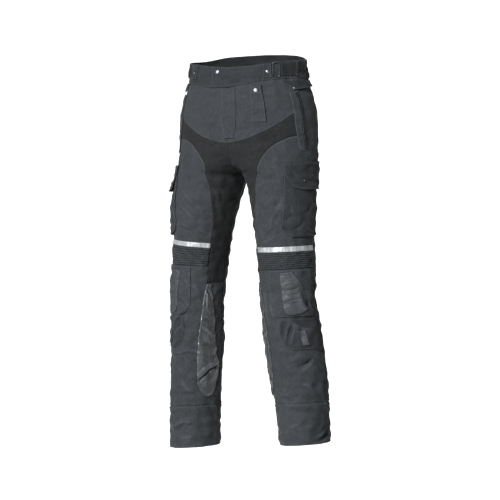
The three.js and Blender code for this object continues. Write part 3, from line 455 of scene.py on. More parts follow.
# Folds of the solids and the finer creases, each a line between two places on the cloth. Columns:
# start angle and z, end angle and z, bow, half width, height
folds = {
    "left": [
        (18, -842, 80, -816, 0, 15, -4), (40, -1015, 105, -985, 0, 16, -4),
        (104, -640, 175, -600, 0, 18, -7), (120, -545, 240, -565, 0, 18, -7),
        (150, -690, 240, -655, 0, 18, -6),
    ],
    "right": [
        (66, -812, -8, -818, 0, 15, -5), (60, -1012, -20, -1000, 0, 16, -4),
        (28, -345, -8, -400, 0, 16, -4), (22, -402, -14, -446, 0, 15, 3),
        (104, -640, 175, -600, 0, 18, -7), (120, -545, 240, -565, 0, 18, -7),
        (150, -690, 240, -655, 0, 18, -6),
    ],
}
creases = {
    "left": [
        # the deepest folds at the knee and the hem
        (24, -678, 84, -712, 10, 13, -6.0), (17, -697, 4, -768, 4, 5, -2.8),
        (32, -706, 14, -776, 4, 5, -3.0), (44, -712, 47, -774, 3, 5, -2.2),
        (24, -832, 66, -805, 6, 5, -2.6), (46, -1045, 106, -1008, 9, 7, -4.4),
        (-24, -904, 18, -932, 6, 6, -2.6), (58, -598, 82, -684, 8, 12, -4.0),
        (27, -421, 43, -464, 5, 6, -2.0), (-28, -610, -25, -716, 5, 8, 2.2),
        (-18, -428, -4, -476, 5, 6, -1.8), (84, -890, 118, -960, 6, 9, -2.6),
        # thigh and knee
        (8, -318, -18, -352, 5, 6, -1.4), (26, -392, 8, -448, 6, 6, -1.8),
        (30, -352, 14, -392, -5, 5, 1.2), (-8, -380, -28, -430, 5, 5, -1.2),
        (20, -440, -14, -470, 5, 5, -1.6), (12, -462, -26, -482, -4, 4, 1.0),
        (34, -706, 16, -772, -5, 4, 2.2), (14, -700, -2, -752, 4, 4, -1.4),
        (0, -806, 38, -788, 6, 5, -2.2), (20, -840, 64, -808, 6, 5, -2.4),
        (-6, -600, 10, -660, 5, 6, -1.3), (-22, -640, -6, -700, -4, 6, 1.2),
        (44, -1032, 92, -996, 9, 5, -3.0), (4, -938, -34, -876, 6, 5, -1.8),
        (-34, -868, -4, -892, 4, 5, -1.6), (10, -1024, -38, -1034, 5, 5, -1.3),
        (30, -960, 70, -972, -6, 6, -1.2), (-24, -796, -2, -836, 5, 5, -1.8),
        (60, -860, 112, -880, 7, 7, -1.6), (26, -880, 60, -902, -5, 6, 1.2),
        (-12, -1000, 30, -985, 5, 6, 1.1),
        # inner legs
        (-50, -330, -96, -350, 6, 6, -1.6), (-54, -400, -96, -440, -6, 7, -1.4),
        (-62, -640, -100, -610, 6, 6, -1.8), (-60, -930, -120, -905, 6, 7, -1.8),
        # beside the fork
        (-2, -212, -44, -252, 5, 5, -1.6), (-6, -232, -60, -268, 5, 4, 1.3),
        (34, -206, 6, -240, -5, 6, -1.0),
        # seat and back of the thighs
        (190, -215, 120, -262, 10, 9, -2.6), (215, -262, 140, -312, 12, 9, -3.2),
        (240, -302, 172, -352, 9, 8, -2.6), (150, -150, 108, -196, 9, 9, -1.6),
        (130, -380, 214, -410, 10, 9, -1.8), (120, -446, 170, -430, 7, 8, -1.6),
        # behind the knees
        (112, -588, 200, -572, 9, 6, -3.4), (150, -622, 246, -606, 10, 6, -3.6),
        (116, -664, 190, -640, 8, 6, -2.6), (180, -528, 240, -540, 7, 6, -2.4),
        (108, -700, 150, -716, 6, 7, -1.6),
        # calves and hems at the back
        (120, -790, 190, -820, 9, 8, -2.0), (180, -870, 250, -850, 8, 8, -1.8),
        (112, -1006, 200, -1028, 10, 7, -3.0), (190, -970, 250, -990, 7, 7, -1.8),
    ],
    "right": [
        # the deepest folds at the knee and the hem
        (31, -722, -8, -668, 8, 5, -3.2), (34, -730, 2, -700, -5, 5, 2.4),
        (38, -790, 2, -752, 8, 6, -2.6), (24, -1024, -8, -994, 8, 6, -3.0),
        (-6, -996, -28, -994, 3, 5, -1.8), (16, -634, -5, -672, 6, 6, -1.6),
        (-52, -926, -88, -996, 8, 9, -3.0), (10, -792, -4, -842, 5, 6, -1.7),
        # thigh and knee
        (34, -338, 2, -376, 6, 5, -2.2), (30, -380, -2, -428, 8, 5, -2.4),
        (12, -352, -20, -392, -5, 4, -1.4), (-30, -322, -52, -372, 5, 5, 1.8),
        (-38, -352, -60, -410, -4, 4, -1.6), (-20, -300, -46, -336, 4, 5, -1.5),
        (40, -432, -10, -448, 6, 5, -1.6), (-12, -438, -44, -462, -4, 4, -1.3),
        (26, -548, -2, -580, 4, 4, -1.8), (8, -556, -16, -602, -5, 4, 1.2),
        (34, -690, 4, -704, 4, 4, -1.3), (-2, -600, -30, -632, 6, 6, -1.4),
        (-10, -660, -34, -690, -4, 5, -1.2), (44, -784, -12, -787, -7, 4, -2.6),
        (10, -788, -44, -802, 5, 5, -2.0), (30, -830, -2, -868, 5, 6, -1.5),
        (8, -848, -22, -894, -6, 5, 1.3), (20, -905, -40, -912, 6, 6, -1.2),
        (36, -1018, -24, -992, 14, 5, -2.6), (10, -1032, -30, -1024, 5, 5, 1.5),
        (44, -962, 4, -958, 5, 6, -1.2), (-20, -948, -60, -975, -5, 5, -1.4),
        # inner legs
        (-62, -300, -96, -330, 6, 6, -2.0), (-64, -420, -96, -470, -6, 7, -1.6),
        (-66, -640, -104, -600, 6, 6, -1.8), (-64, -925, -124, -900, 6, 7, -2.0),
        # beside the fork
        (-2, -204, -42, -240, 6, 4, 1.6), (2, -216, -30, -262, -5, 5, -1.8),
        (30, -196, 2, -232, 5, 6, -1.1),
        # seat and back of the thighs
        (190, -215, 118, -270, 9, 9, -2.4), (218, -258, 150, -318, 12, 8, -3.0),
        (238, -306, 168, -348, 9, 9, -2.8), (156, -140, 110, -190, 8, 8, -1.5),
        (124, -372, 206, -404, 10, 8, -2.0), (190, -470, 246, -448, 8, 8, -1.8),
        # behind the knees
        (108, -584, 196, -574, 9, 6, -3.2), (146, -618, 242, -602, 10, 6, -3.4),
        (118, -672, 196, -644, 8, 6, -2.8), (178, -520, 238, -534, 7, 6, -2.2),
        (190, -706, 250, -690, 7, 7, -1.8),
        # calves and hems at the back
        (116, -800, 186, -826, 9, 8, -2.2), (176, -880, 246, -858, 8, 8, -1.6),
        (106, -1000, 190, -1030, 10, 7, -2.8), (196, -962, 256, -985, 7, 7, -2.0),
    ],
}

# Folds lie by 1.5 mm to a degree, as on a leg, and creases by up to 2.8 mm to a degree, as on the hips
perDegree = {"z": [-330, -230], "leg": 1.5, "hip": 2.8}
# Of these, the last two set the painted highlight on crease ridges and its largest value
creaseForm = {"gain": 1.6, "ridge": 0.4, "ridgeAt": 1.5, "wearAndHighlight": 0.13, "mostCreaseHighlight": 0.25}
kneeForm = {"angle": 34, "wide": 40, "tall": 62, "high": 5}
crumple = {
    "waves": 26, "shortest": 13, "longest": 44, "slope": 0.064, "seed": 7, "slow": 160, "bend": 1.8,
    "z": [60, -30, -60, -200, -420, -600, -760, -1060],
    "strength": [1.3, 1.2, 0.5, 0.75, 0.95, 0.95, 0.95, 1.0]}


def creaseHeight(angle, z, rows):
    # Along its line a crease rises and falls as a half sine. Across it, it is a soft trough with a
    # smaller ridge on one side: a bell, less a share of a second bell 1.5 widths away
    height = np.zeros(np.shape(angle))
    for fromAngle, fromZ, toAngle, toZ, bow, width, high in rows:
        size = np.interp((fromZ + toZ) / 2, perDegree["z"], [perDegree["leg"], perDegree["hip"]])
        run = np.array([(toAngle - fromAngle) * size, toZ - fromZ])
        length = np.hypot(*run)
        for turnBack in (0, 360):
            x = (angle - turnBack - fromAngle) * size
            y = z - fromZ
            share = (x * run[0] + y * run[1]) / length ** 2
            away = (x * run[1] - y * run[0]) / length - bow * 4 * share * (1 - share)
            fade = np.sin(np.pi * np.clip(share, 0, 1))
            beyond = away - creaseForm["ridgeAt"] * width
            bell = np.exp(-(away / width) ** 2) - creaseForm["ridge"] * np.exp(-(beyond / width) ** 2)
            height = height + creaseForm["gain"] * high * fade * bell
    return height


def solidHeight(side, angle, z):
    # The solids' own folds, a half sine along and a plain bell across, and the bulge of the knee
    height = np.zeros(np.shape(angle))
    for fromAngle, fromZ, toAngle, toZ, _, width, high in folds[sideNames[side]]:
        run = np.array([(toAngle - fromAngle) * perDegree["leg"], toZ - fromZ])
        x, y = (angle - fromAngle) * perDegree["leg"], z - fromZ
        share = (x * run[0] + y * run[1]) / np.dot(run, run)
        away = (x * run[1] - y * run[0]) / np.hypot(*run) / width
        inside = (share >= 0) & (share <= 1)
        height = height + np.where(inside, high * np.sin(np.pi * share) * np.exp(-away * away), 0)
    across = (angle - kneeForm["angle"]) / kneeForm["wide"]
    along = (z - kneeBands[sideNames[side]]["middle"]) / kneeForm["tall"]
    return height + kneeForm["high"] * np.exp(-across * across - along * along)


def crumpleHeight(points):
    # Sum of waves in space with uneven directions and lengths, each bent by a slower one. Their
    # strength is largest at the gathered waist, small below it, and grows again down the leg
    random = np.random.default_rng(crumple["seed"])
    x, y, z = points[..., 0], points[..., 1], points[..., 2]
    height = np.zeros(x.shape)
    for wave in range(crumple["waves"]):
        length = random.uniform(crumple["shortest"], crumple["longest"])
        direction = random.normal(size=3) * (1, 1, 1.5)
        direction = direction / np.linalg.norm(direction) * 2 * np.pi / length
        slow = random.normal(size=3) / crumple["slow"]
        phase = x * direction[0] + y * direction[1] + z * direction[2] + random.uniform(0, 7)
        bend = crumple["bend"] * np.sin(x * slow[0] + y * slow[1] + z * slow[2] + random.uniform(0, 7))
        height = height + crumple["slope"] * length / (2 * np.pi) * np.sin(phase + bend)
    return height * tableAt(crumple, "strength", z)


def tilted(points):
    return points + np.stack([0 * points[..., 0], 0 * points[..., 0], cut["hipTilt"] * points[..., 0]], -1)


def clothPoint(side, angle, z, lift):
    angle, z = np.asarray(angle, float), np.asarray(z, float)
    base = skin(side, angle, z)
    own = creaseHeight(angle, z, creases[sideNames[side]])
    out = lift + solidHeight(side, angle, z) + own + crumpleHeight(base)
    return tilted(base + skinNormal(side, angle, z) * out[..., None])


# Grids of angle and z, from the edges of each piece

def straight(start, end, steps):
    share = np.linspace(0, 1, steps + 1)[:, None]
    return (1 - share) * np.array(start, float) + share * np.array(end, float)


def along(corners, steps):
    # Even steps along a bent line, with 1.6 mm to a degree
    corners = np.array(corners, float)
    lengths = np.hypot(np.diff(corners[:, 0]) * 1.6, np.diff(corners[:, 1]))
    total = np.concatenate([[0], np.cumsum(lengths)])
    wanted = np.linspace(0, total[-1], steps + 1)
    return np.stack([np.interp(wanted, total, corners[:, 0]), np.interp(wanted, total, corners[:, 1])], -1)


def byKnot(values, each):
    # Smooth values between the knots of a list, with that many steps to each span
    count = (len(values) - 1) * each
    return smoothAt(np.arange(len(values)), values, np.linspace(0, len(values) - 1, count + 1))


def knotLine(angles, heights, each):
    return np.stack([byKnot(angles, each), byKnot(heights, each)], -1)


def joined(*lines):
    # Lines one after the other; a point that repeats the last one is left out
    kept = [lines[0]]
    for line in lines[1:]:
        repeats = np.allclose(kept[-1][-1], line[0], atol=1e-6)
        kept.append(line[1:] if repeats else line)
    return np.concatenate(kept)


def bandLine(ends, fromAngle, toAngle, steps):
    # A line that slopes evenly from the inner end of a knee band to its outer one
    angle = np.linspace(fromAngle, toAngle, steps + 1)
    share = (angle - cut["bandInner"]) / (cut["sideEnd"] - cut["bandInner"])
    return np.stack([angle, ends[0] + (ends[1] - ends[0]) * share], -1)


def spanned(top, foot, first, last):
    # Coons patch: the two ruled surfaces between opposite edges, less the one between the corners
    u = np.linspace(0, 1, len(top))[None, :, None]
    v = np.linspace(0, 1, len(first))[:, None, None]
    ruled = (1 - v) * top[None] + v * foot[None] + (1 - u) * first[:, None] + u * last[:, None]
    high = (1 - u) * top[0] + u * top[-1]
    low = (1 - u) * foot[0] + u * foot[-1]
    return ruled - (1 - v) * high - v * low


def ruledGrid(top, foot, rows):
    return spanned(top, foot, straight(top[0], foot[0], rows), straight(top[-1], foot[-1], rows))


def boxGrid(topLeft, topRight, footLeft, footRight, columns, rows):
    return ruledGrid(straight(topLeft, topRight, columns), straight(footLeft, footRight, columns), rows)


def sampleGrid(grid, rowAt, columnAt):
    # Values of a grid between its points, by straight interpolation along rows and columns
    i = np.clip(np.floor(rowAt).astype(int), 0, grid.shape[0] - 2)
    j = np.clip(np.floor(columnAt).astype(int), 0, grid.shape[1] - 2)
    s, t = (rowAt - i)[:, None, None], (columnAt - j)[None, :, None]
    upper = grid[i][:, j] * (1 - t) + grid[i][:, j + 1] * t
    lower = grid[i + 1][:, j] * (1 - t) + grid[i + 1][:, j + 1] * t
    return upper * (1 - s) + lower * s


edgeSteps = [0, 0.8, 1.7, 3.0, 4.8]


def placesAlong(length, count, step, closed=False):
    # Places from 0 to count: fine steps at both edges, and even ones between them
    if closed or length < 4 * edgeSteps[-1]:
        return np.linspace(0, count, max(int(round(length / step)), 8) + 1)
    inner = max(int(round((length - 2 * edgeSteps[-1]) / step)), 1)
    middle = np.linspace(edgeSteps[-1], length - edgeSteps[-1], inner + 1)
    places = np.concatenate([edgeSteps[:-1], middle, length - np.array(edgeSteps[:-1])[::-1]])
    return places / length * count


def distances(points, axis):
    steps = np.linalg.norm(np.diff(points, axis=axis), axis=-1)
    start = np.zeros_like(np.take(steps, [0], axis=axis))
    return np.cumsum(np.concatenate([start, steps], axis=axis), axis=axis)


def smoothstep(at, low, high):
    s = np.clip((at - low) / (high - low), 0, 1)
    return s * s * (3 - 2 * s)


# How the cloth is finished at an edge: depth and width of the groove, height and width of the lap
# beside it, height of the puckers, and how much lighter it is there: rubbed, and a painted highlight on the raised
# edge
finishes = {
    "sewn": {"groove": 1.8, "width": 2.0, "lap": 0.0, "lapWidth": 6, "pucker": 0.3, "wearAndHighlight": 0.0},
    "felled": {"groove": 1.8, "width": 1.7, "lap": 0.9, "lapWidth": 7, "pucker": 0.55, "wearAndHighlight": 0.1},
    "under": {"groove": 1.5, "width": 2.2, "lap": 0.0, "lapWidth": 6, "pucker": 0.4, "wearAndHighlight": 0.0},
    "tucked": {"groove": 2.0, "width": 3.6, "lap": 0.0, "lapWidth": 6, "pucker": 0.0, "wearAndHighlight": 0.0},
    "edge": {"groove": 0.7, "width": 0.9, "lap": 0.35, "lapWidth": 5, "pucker": 0.25, "wearAndHighlight": 0.12},
}
edgeNames = ("top", "foot", "first", "last")
allEdges = "edge edge edge edge"


def edgeProfile(finish, away, beside):
    # Groove at the edge, a lap that ends softly, and puckers that fade away from the seam
    lap = finish["lap"] * 0.5 * (1 - np.tanh((away - finish["lapWidth"]) / 1.4))
    groove = finish["groove"] * np.exp(-(away / finish["width"]) ** 2)
    ripple = np.sin(2 * np.pi * beside / 10.5 + 1.4 * np.sin(beside / 17) + 0.8 * np.sin(beside / 5.3))
    pucker = finish["pucker"] * ripple * np.exp(-((away - 5) / 6) ** 2)
    return lap - groove + pucker


def gridFaces(rows, columns, ring):
    i = np.arange(rows - 1)[:, None]
    j = np.arange(columns if ring else columns - 1)[None, :]
    right = (j + 1) % columns
    corners = [i * columns + j, (i + 1) * columns + j, (i + 1) * columns + right, i * columns + right]
    return np.stack([c + 0 * i + 0 * j for c in corners], -1).reshape(-1, 4)


def turnedOut(points, faces, outward):
    # The faces, turned over if on the whole they look against their outward directions
    corners = points.reshape(-1, 3)[faces]
    facing = np.cross(corners[:, 1] - corners[:, 0], corners[:, 3] - corners[:, 0])
    return faces[:, ::-1] if (facing * outward(corners)).sum() < 0 else faces


def newPiece(name, points, faces, slot, maps=None, wearAndHighlight=None):
    # A mesh from arrays, in metres, on the body "root"
    mesh = bpy.data.meshes.new(name)
    flat = np.ascontiguousarray(points.reshape(-1, 3) * mm, dtype=np.float32)
    mesh.vertices.add(len(flat))
    mesh.vertices.foreach_set("co", flat.ravel())
    mesh.loops.add(faces.size)
    mesh.loops.foreach_set("vertex_index", faces.ravel().astype(np.int32))
    mesh.polygons.add(len(faces))
    mesh.polygons.foreach_set("loop_start", (np.arange(len(faces)) * faces.shape[1]).astype(np.int32))
    mesh.polygons.foreach_set("use_smooth", np.ones(len(faces), bool))
    mesh.update(calc_edges=True)
    if maps is not None:
        layer = mesh.uv_layers.new(name="cloth")
        layer.data.foreach_set("uv", maps.reshape(-1, 2)[faces.ravel()].astype(np.float32).ravel())
    if wearAndHighlight is not None:
        attribute = mesh.attributes.new("wearAndHighlight", "FLOAT", "POINT")
        attribute.data.foreach_set("value", wearAndHighlight.ravel().astype(np.float32))
    mesh.materials.append(materials[slot])
    piece = bpy.data.objects.new(name, mesh)
    bpy.context.scene.collection.objects.link(piece)
    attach(piece, "root")
    return piece


def closedInMiddle(points, side, away):
    # The two halves meet in the middle plane. At the crotch the two legs touch, with no slit of light
    # between them
    aside, z = side * points[..., 0], points[..., 2]
    seam = (away["first"] * away["last"] < 1e-6) & (aside < 3)
    aside = np.where(seam, aside * smoothstep(aside, 0, 3), aside)
    fork = smoothstep(cut["forkTop"] - z, 0, 10) * smoothstep(z - cut["crotch"] + 40, 0, 20)
    return side * np.maximum(aside * (1 - fork * (1 - smoothstep(aside, 1.2, 4.5))), 0.01)


made = {}


def dress(node, side, grid, slot, edges, lift=None, thickness=cut["wall"], step=3.5,
          rowStep=None, marks=(), seams=(), half=False, ring=False, extra=False,
          ridges=0.0):
    # The cloth piece that stands for a node, or is extra. lift gives its outer height over the skin from u,
    # v, angle and z. edges are the finishes of its top, foot, first and last edge, marks are creases of its
    # own and seams its rows of stitches. ridges paints a highlight on what stands out, lighter the higher it is
    rough = skin(side, grid[..., 0], grid[..., 1])
    height, width = distances(rough, 0)[-1].max(), distances(rough, 1)[:, -1].max()
    rowAt = placesAlong(height, grid.shape[0] - 1, rowStep or step)
    columnAt = placesAlong(width, grid.shape[1] - 1, step, ring)
    if ring:
        columnAt = columnAt[:-1]
    fine = sampleGrid(grid, rowAt, columnAt)
    angle, z = fine[..., 0], fine[..., 1]
    base = skin(side, angle, z)
    down, across = distances(base, 0), distances(base, 1)
    away = {"top": down, "foot": down[-1:] - down, "first": across, "last": across[:, -1:] - across}
    beside = {"top": across, "foot": across, "first": down, "last": down}
    u = np.broadcast_to((columnAt / (grid.shape[1] - 1))[None, :], angle.shape)
    v = np.broadcast_to((rowAt / (grid.shape[0] - 1))[:, None], angle.shape)
    out = np.zeros(angle.shape) if lift is None else lift(u, v, angle, z) + 0 * angle
    wearAndHighlight = np.zeros(angle.shape)
    for edge, kind in zip(edgeNames, edges.split()):
        if kind in finishes:
            out = out + edgeProfile(finishes[kind], away[edge], beside[edge])
            # Lighter near the edge: rubbed, and a painted highlight where the raised edge would catch light
            wearAndHighlight = wearAndHighlight + finishes[kind]["wearAndHighlight"] * np.exp(-((away[edge] - 2.2) / 1.8) ** 2)
    # A painted highlight on what stands out, as on the ribs
    wearAndHighlight = wearAndHighlight + ridges * out / max(out.max(), 0.1)
    own = creaseHeight(angle, z, marks) + creaseHeight(angle, z, creases[sideNames[side]])
    # A painted highlight on the crease ridges, standing in for the light and shade of the folds
    wearAndHighlight = wearAndHighlight + np.clip(own * creaseForm["wearAndHighlight"], 0, creaseForm["mostCreaseHighlight"])
    out = out + own + solidHeight(side, angle, z) + crumpleHeight(base)
    normal = skinNormal(side, angle, z)
    points = tilted(base + normal * out[..., None])
    if half:
        points[..., 0] = closedInMiddle(points, side, away)
    faces = gridFaces(*angle.shape, ring)
    faces = turnedOut(points, faces, lambda corners: normal.reshape(-1, 3)[faces[:, 0]])
    middle = across[:, across.shape[1] // 2][:, None]
    maps = np.stack([(across - middle), -down], -1) * mm
    piece = newPiece(node + "_cloth", points, faces, slot, maps, wearAndHighlight)
    wall = piece.modifiers.new("wall", "SOLIDIFY")
    wall.thickness, wall.offset = thickness * mm, -1
    if not extra:
        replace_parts(piece, node)
    # Kept for the stitching: its points, normals, edge distances, side and whether it is a ring
    made[node] = {"points": points, "normal": normal, "away": away, "side": side, "ring": ring}
    for seam in seams:
        sew(node, *seam)


def laid(thickness, lift=None):
    # Outer height of a layer that rests on the panel under it
    def height(u, v, angle, z):
        return cut["rest"] + thickness + (0 if lift is None else lift(u, v, angle, z))
    return height


# Panels of the legs and the seat

def thighEdgeLine(side):
    return knotLine(thighEdge[sideNames[side]], thighEdge["z"], 6)


def riseLine(turns):
    # Where the cloth of one side meets the centre plane: the height follows from the angle
    turn = byKnot(turns, 6)
    return turn, riseHeight(turn)


def frontYoke(side):
    name = sideNames[side]
    seam = knotLine(yokeSeam["angle"], yokeSeam["z"], 6)
    top = np.stack([seam[:, 0], bandFoot(side, seam[:, 0]) + cut["tuck"]], -1)
    dress(f"front_yoke_{name}", side, ruledGrid(top, seam, 30), "shell_cloth",
          "tucked felled sewn sewn", half=True, seams=[("foot", 3.2, "bold")])


def crotchStretch(side):
    # From the side seam under the yoke, over the centre, down the inner leg
    name = sideNames[side]
    turn, height = riseLine(frontRise)
    inseam = byKnot([cut["crotch"]] + innerLeg, 6)
    outer = joined(knotLine(yokeSeam["angle"], yokeSeam["z"], 6), np.stack([-turn, height], -1),
                   np.stack([innerSeam(inseam), inseam], -1))
    edge = thighEdgeLine(side)
    inner, ribTop, ribEnd = cut["bandInner"], kneeBands[name]["ribTop"][0], kneeBands[name]["ribEnd"][0]
    tail = [edge[-1], ((edge[-1][0] + inner) / 2, (edge[-1][1] + ribTop) / 2), (inner, ribTop),
            (inner, (ribTop + ribEnd) / 2), (inner, ribEnd), (inner, cut["stretchEnd"])]
    lower = joined(edge, *[straight(tail[k], tail[k + 1], 6) for k in range(len(tail) - 1)])
    sideZ = np.linspace(outer[0][1], lower[0][1], 13)
    grid = spanned(outer, lower, np.stack([sideSeam(sideZ), sideZ], -1), straight(outer[-1], lower[-1], 12))
    dress(f"crotch_stretch_{name}", side, grid, "stretch_cloth", "under under sewn under",
          half=True)


def thighFront(side):
    name = sideNames[side]
    edge = thighEdgeLine(side)
    foot = bandLine(kneeBands[name]["ribTop"], cut["sideEnd"], cut["bandInner"], len(edge) - 1)
    sideZ = byKnot(thighSide[name], 12)
    outer = np.stack([sideSeam(sideZ), sideZ], -1)
    grid = spanned(edge, foot, outer, straight(edge[-1], foot[-1], len(outer) - 1))
    dress(f"thigh_front_{name}", side, grid, "shell_cloth", "felled under felled felled",
          half=True,
          seams=[("top", 3.0, "bold"), ("last", 2.6), ("last", 6.4), ("first", 3.0)])


rib = {"count": 8, "height": 3.2, "uneven": 0.16}


def ribbedBand(side):
    # Eight soft ribs with narrow grooves between them, a little uneven
    name = sideNames[side]
    ends = [bandLine(kneeBands[name][edge], cut["sideEnd"], cut["bandInner"], 54)
            for edge in ("ribTop", "ribEnd")]

    def lift(u, v, angle, z):
        wander = (0.1 * np.sin(9 * u + 2 * side + 4 * v) + 0.12 * np.sin(23 * u + 7 * v)
                  + 0.1 * np.sin(47 * u - 9 * v))
        wave = np.abs(np.sin(np.pi * (rib["count"] * v + wander * np.sin(np.pi * v)))) ** 0.75
        uneven = 1 - rib["uneven"] * (1 + np.sin(31 * u + 5 * np.round(rib["count"] * v)))
        return rib["height"] * wave * uneven * smoothstep(u, 0, 0.035) * (1 - smoothstep(u, 0.965, 1))

    # Its ribs get a painted highlight, lighter where they stand out
    dress(f"ribbed_band_{name}", side, ruledGrid(*ends, 48), "ribbed_cloth", "- - sewn under",
          lift, step=2.6, rowStep=0.7, ridges=0.8)


def shinFront(side):
    name = sideNames[side]
    seamEnd, hemSeam, inner, sideEnd = cut["stretchEnd"], cut["hemSeam"], cut["bandInner"], cut["sideEnd"]
    ribEnd = kneeBands[name]["ribEnd"]
    top = joined(bandLine(ribEnd, sideEnd, inner, 66), straight((inner, ribEnd[0]), (inner, seamEnd), 6),
                 straight((inner, seamEnd), (innerSeam(seamEnd), seamEnd), 18))
    foot = joined(straight((sideEnd, hemSeam), (-34, hemSeam), 66),
                  straight((-34, hemSeam), (-50, hemSeam), 6),
                  straight((-50, hemSeam), (innerSeam(hemSeam), hemSeam), 18))
    dress(f"shin_front_{name}", side, ruledGrid(top, foot, 90), "shell_cloth", "sewn under felled sewn",
          seams=[("first", 3.0)])


def backPanel(side):
    # Seat and back of one leg, from the waistband to the hem band
    each = 6
    turn, height = riseLine(backRise)
    seat = byKnot([-32, -60, -87, -114, -149, -184, cut["forkTop"]], each)
    lower = [-620, -650, -685, -720, -756, -800, -865, cut["hemSeam"]]
    legZ = byKnot([cut["crotch"]] + innerLeg + lower, each)
    last = joined(np.stack([180 + 0 * seat, seat], -1), np.stack([180 + turn, height], -1),
                  np.stack([360 + innerSeam(legZ), legZ], -1))
    sideZ = last[:, 1] + 0.0
    ends = bandFoot(side, np.array([69.0, 180.0])) + cut["tuck"]
    fade = np.clip(1 - np.arange(len(sideZ)) / each, 0, 1)
    sideZ += (ends[0] - sideZ[0]) * fade
    first = np.stack([sideSeam(sideZ), sideZ], -1)
    last[:, 1] += (ends[1] - last[0, 1]) * fade
    angle = np.linspace(first[0, 0], last[0, 0], 61)
    top = np.stack([angle, bandFoot(side, angle) + cut["tuck"]], -1)
    grid = spanned(top, straight(first[-1], last[-1], 60), first, last)
    dress(f"back_{sideNames[side]}", side, grid, "shell_cloth", "tucked under under sewn",
          half=True, step=4.0, seams=[("last", 3.2, "wide", 0.32)])


def hemBand(side):
    angle = np.linspace(0, 360, 97)[None, :]
    z = np.linspace(cut["hemSeam"], cut["hemEdge"], 40)[:, None] + 0 * angle
    z = z - 4 * np.cos(np.radians(angle)) * np.clip((-1032 - z) / 18, 0, 1)

    def fold(u, v, angle, z):
        # The turned-up hem inside shows as a faint ridge where it ends
        return 0.5 * smoothstep(v, 0.7, 0.74) + 0.25 * np.exp(-((v - 0.76) / 0.02) ** 2)

    dress(f"hem_{sideNames[side]}", side, np.stack([angle + 0 * z, z], -1), "shell_cloth",
          "felled edge - -", fold, ring=True,
          seams=[("top", 2.6), ("top", 8.0)])


# Waistband: the left piece laps over the right one, and the back is gathered by elastic

band = {"lapEnd": -19, "lapRise": 2.7, "gathers": 17, "gatherHeight": 2.2, "channels": 3, "slack": 1.15}
facing = {"top": 2.0, "foot": 4.0, "depth": -1.35, "wall": 0.4}


def bandGrid(fromAngle, toAngle, below=0, columns=120):
    # The angle runs on past the centre front and the centre back to the other side
    angle = np.linspace(fromAngle, toAngle, columns + 1)
    turn = np.where(angle > 180, 360 - angle, np.abs(angle))
    foot = np.where((angle < 0) | (angle > 180), bandFoot(-1, turn), bandFoot(1, turn))
    return ruledGrid(np.stack([angle, bandTop(turn)], -1), np.stack([angle, foot + below], -1), 24)


def waistbandFront():
    def raised(u, v, angle, z):
        return band["lapRise"] * (1 - smoothstep(angle, 0, 9))

    dress("waistband_left", 1, bandGrid(band["lapEnd"], 68), "shell_darker", "edge felled edge sewn",
          raised, step=2.6, seams=[("top", 3.0), ("foot", 3.4), ("first", 3.2)])
    angle = np.linspace(1, 68, 121)
    grid = ruledGrid(np.stack([angle, bandTop(angle)], -1), np.stack([angle, bandFoot(-1, angle)], -1), 24)
    dress("waistband_right", -1, grid, "shell_darker", "edge felled sewn sewn",
          step=2.6, seams=[("top", 3.0), ("foot", 3.4)])


def waistbandBack():
    def gathered(u, v, angle, z):
        # Gathers across, pinched where the rows of elastic stitching run
        columns = band["gathers"] * 2 + 8
        share = (u * columns - 4) / (band["gathers"] * 2)
        uneven = 0.12 * np.sin(19 * share) + 0.08 * np.sin(41 * share + 1)
        wave = 0.5 - 0.5 * np.cos(2 * np.pi * (band["gathers"] * share + uneven))
        inside = smoothstep(share, 0, 0.01) * (1 - smoothstep(share, 0.99, 1))
        return band["gatherHeight"] * wave * inside * np.abs(np.sin(np.pi * band["channels"] * v)) ** 0.45

    dress("waistband_back", 1, bandGrid(68, 292, columns=300), "shell_darker", "edge felled sewn sewn",
          gathered, step=2.1,
          seams=[("top", 3.0), ("top", 21.5), ("top", 43.0), ("foot", 3.4)])
    # The band's inner facing, which shows through the open waist: a real layer, whose dark cloth also paints the
    # shade inside the waist
    grid = bandGrid(62, 298, facing["foot"], 200)
    grid[..., 1] -= facing["top"] * np.linspace(1, 0, grid.shape[0])[:, None]
    dress("waistband_facing", 1, grid, "stretch_cloth", "- - - -",
          lambda u, v, angle, z: facing["depth"], facing["wall"], 4.5, extra=True)


def flyPlacket():
    first = along([(-6.5, -46), (-6, -140), (-2.5, -186)], 60)
    last = along([(6.5, -46), (7.5, -150), (5, -186)], 60)
    grid = spanned(straight(first[0], last[0], 24), straight(first[-1], last[-1], 24), first, last)
    dress("fly_placket", 1, grid, "shell_cloth", "- edge edge -",
          laid(1.2), 1.0, 2.0, seams=[("first", 2.6), ("last", 3.0), ("last", 7.5)])
    tack(1, (0.2, -181.5), (4.4, -184.5), 2.4, 3.4)
    tack(1, (0.4, -176), (3.6, -178), 2.2, 3.4)


def frontTab():
    # Small pocket on the left of the front, open at its outer edge, with a square tab and a stud
    def standing(u, v, angle, z):
        return 3.5 * np.clip((u - 0.6) / 0.4, 0, 1) ** 1.6

    grid = boxGrid((20, -39), (31, -39), (20, -143), (33, -143), 24, 50)
    dress("front_tab", 1, grid, "shell_cloth", "- edge edge edge",
          laid(1.2, standing), 1.0, 2.0, seams=[("first", 2.0), ("foot", 2.6), ("foot", 7.0)])
    square = boxGrid((20.6, -38.5), (30.6, -38.5), (20.8, -66), (31, -66), 16, 16)
    dress("front_tab_square", 1, square, "shell_cloth", "- edge edge edge",
          laid(2.3, standing), 0.9, 2.0, seams=[("foot", 2.4), ("first", 2.2)], extra=True)


# Pockets

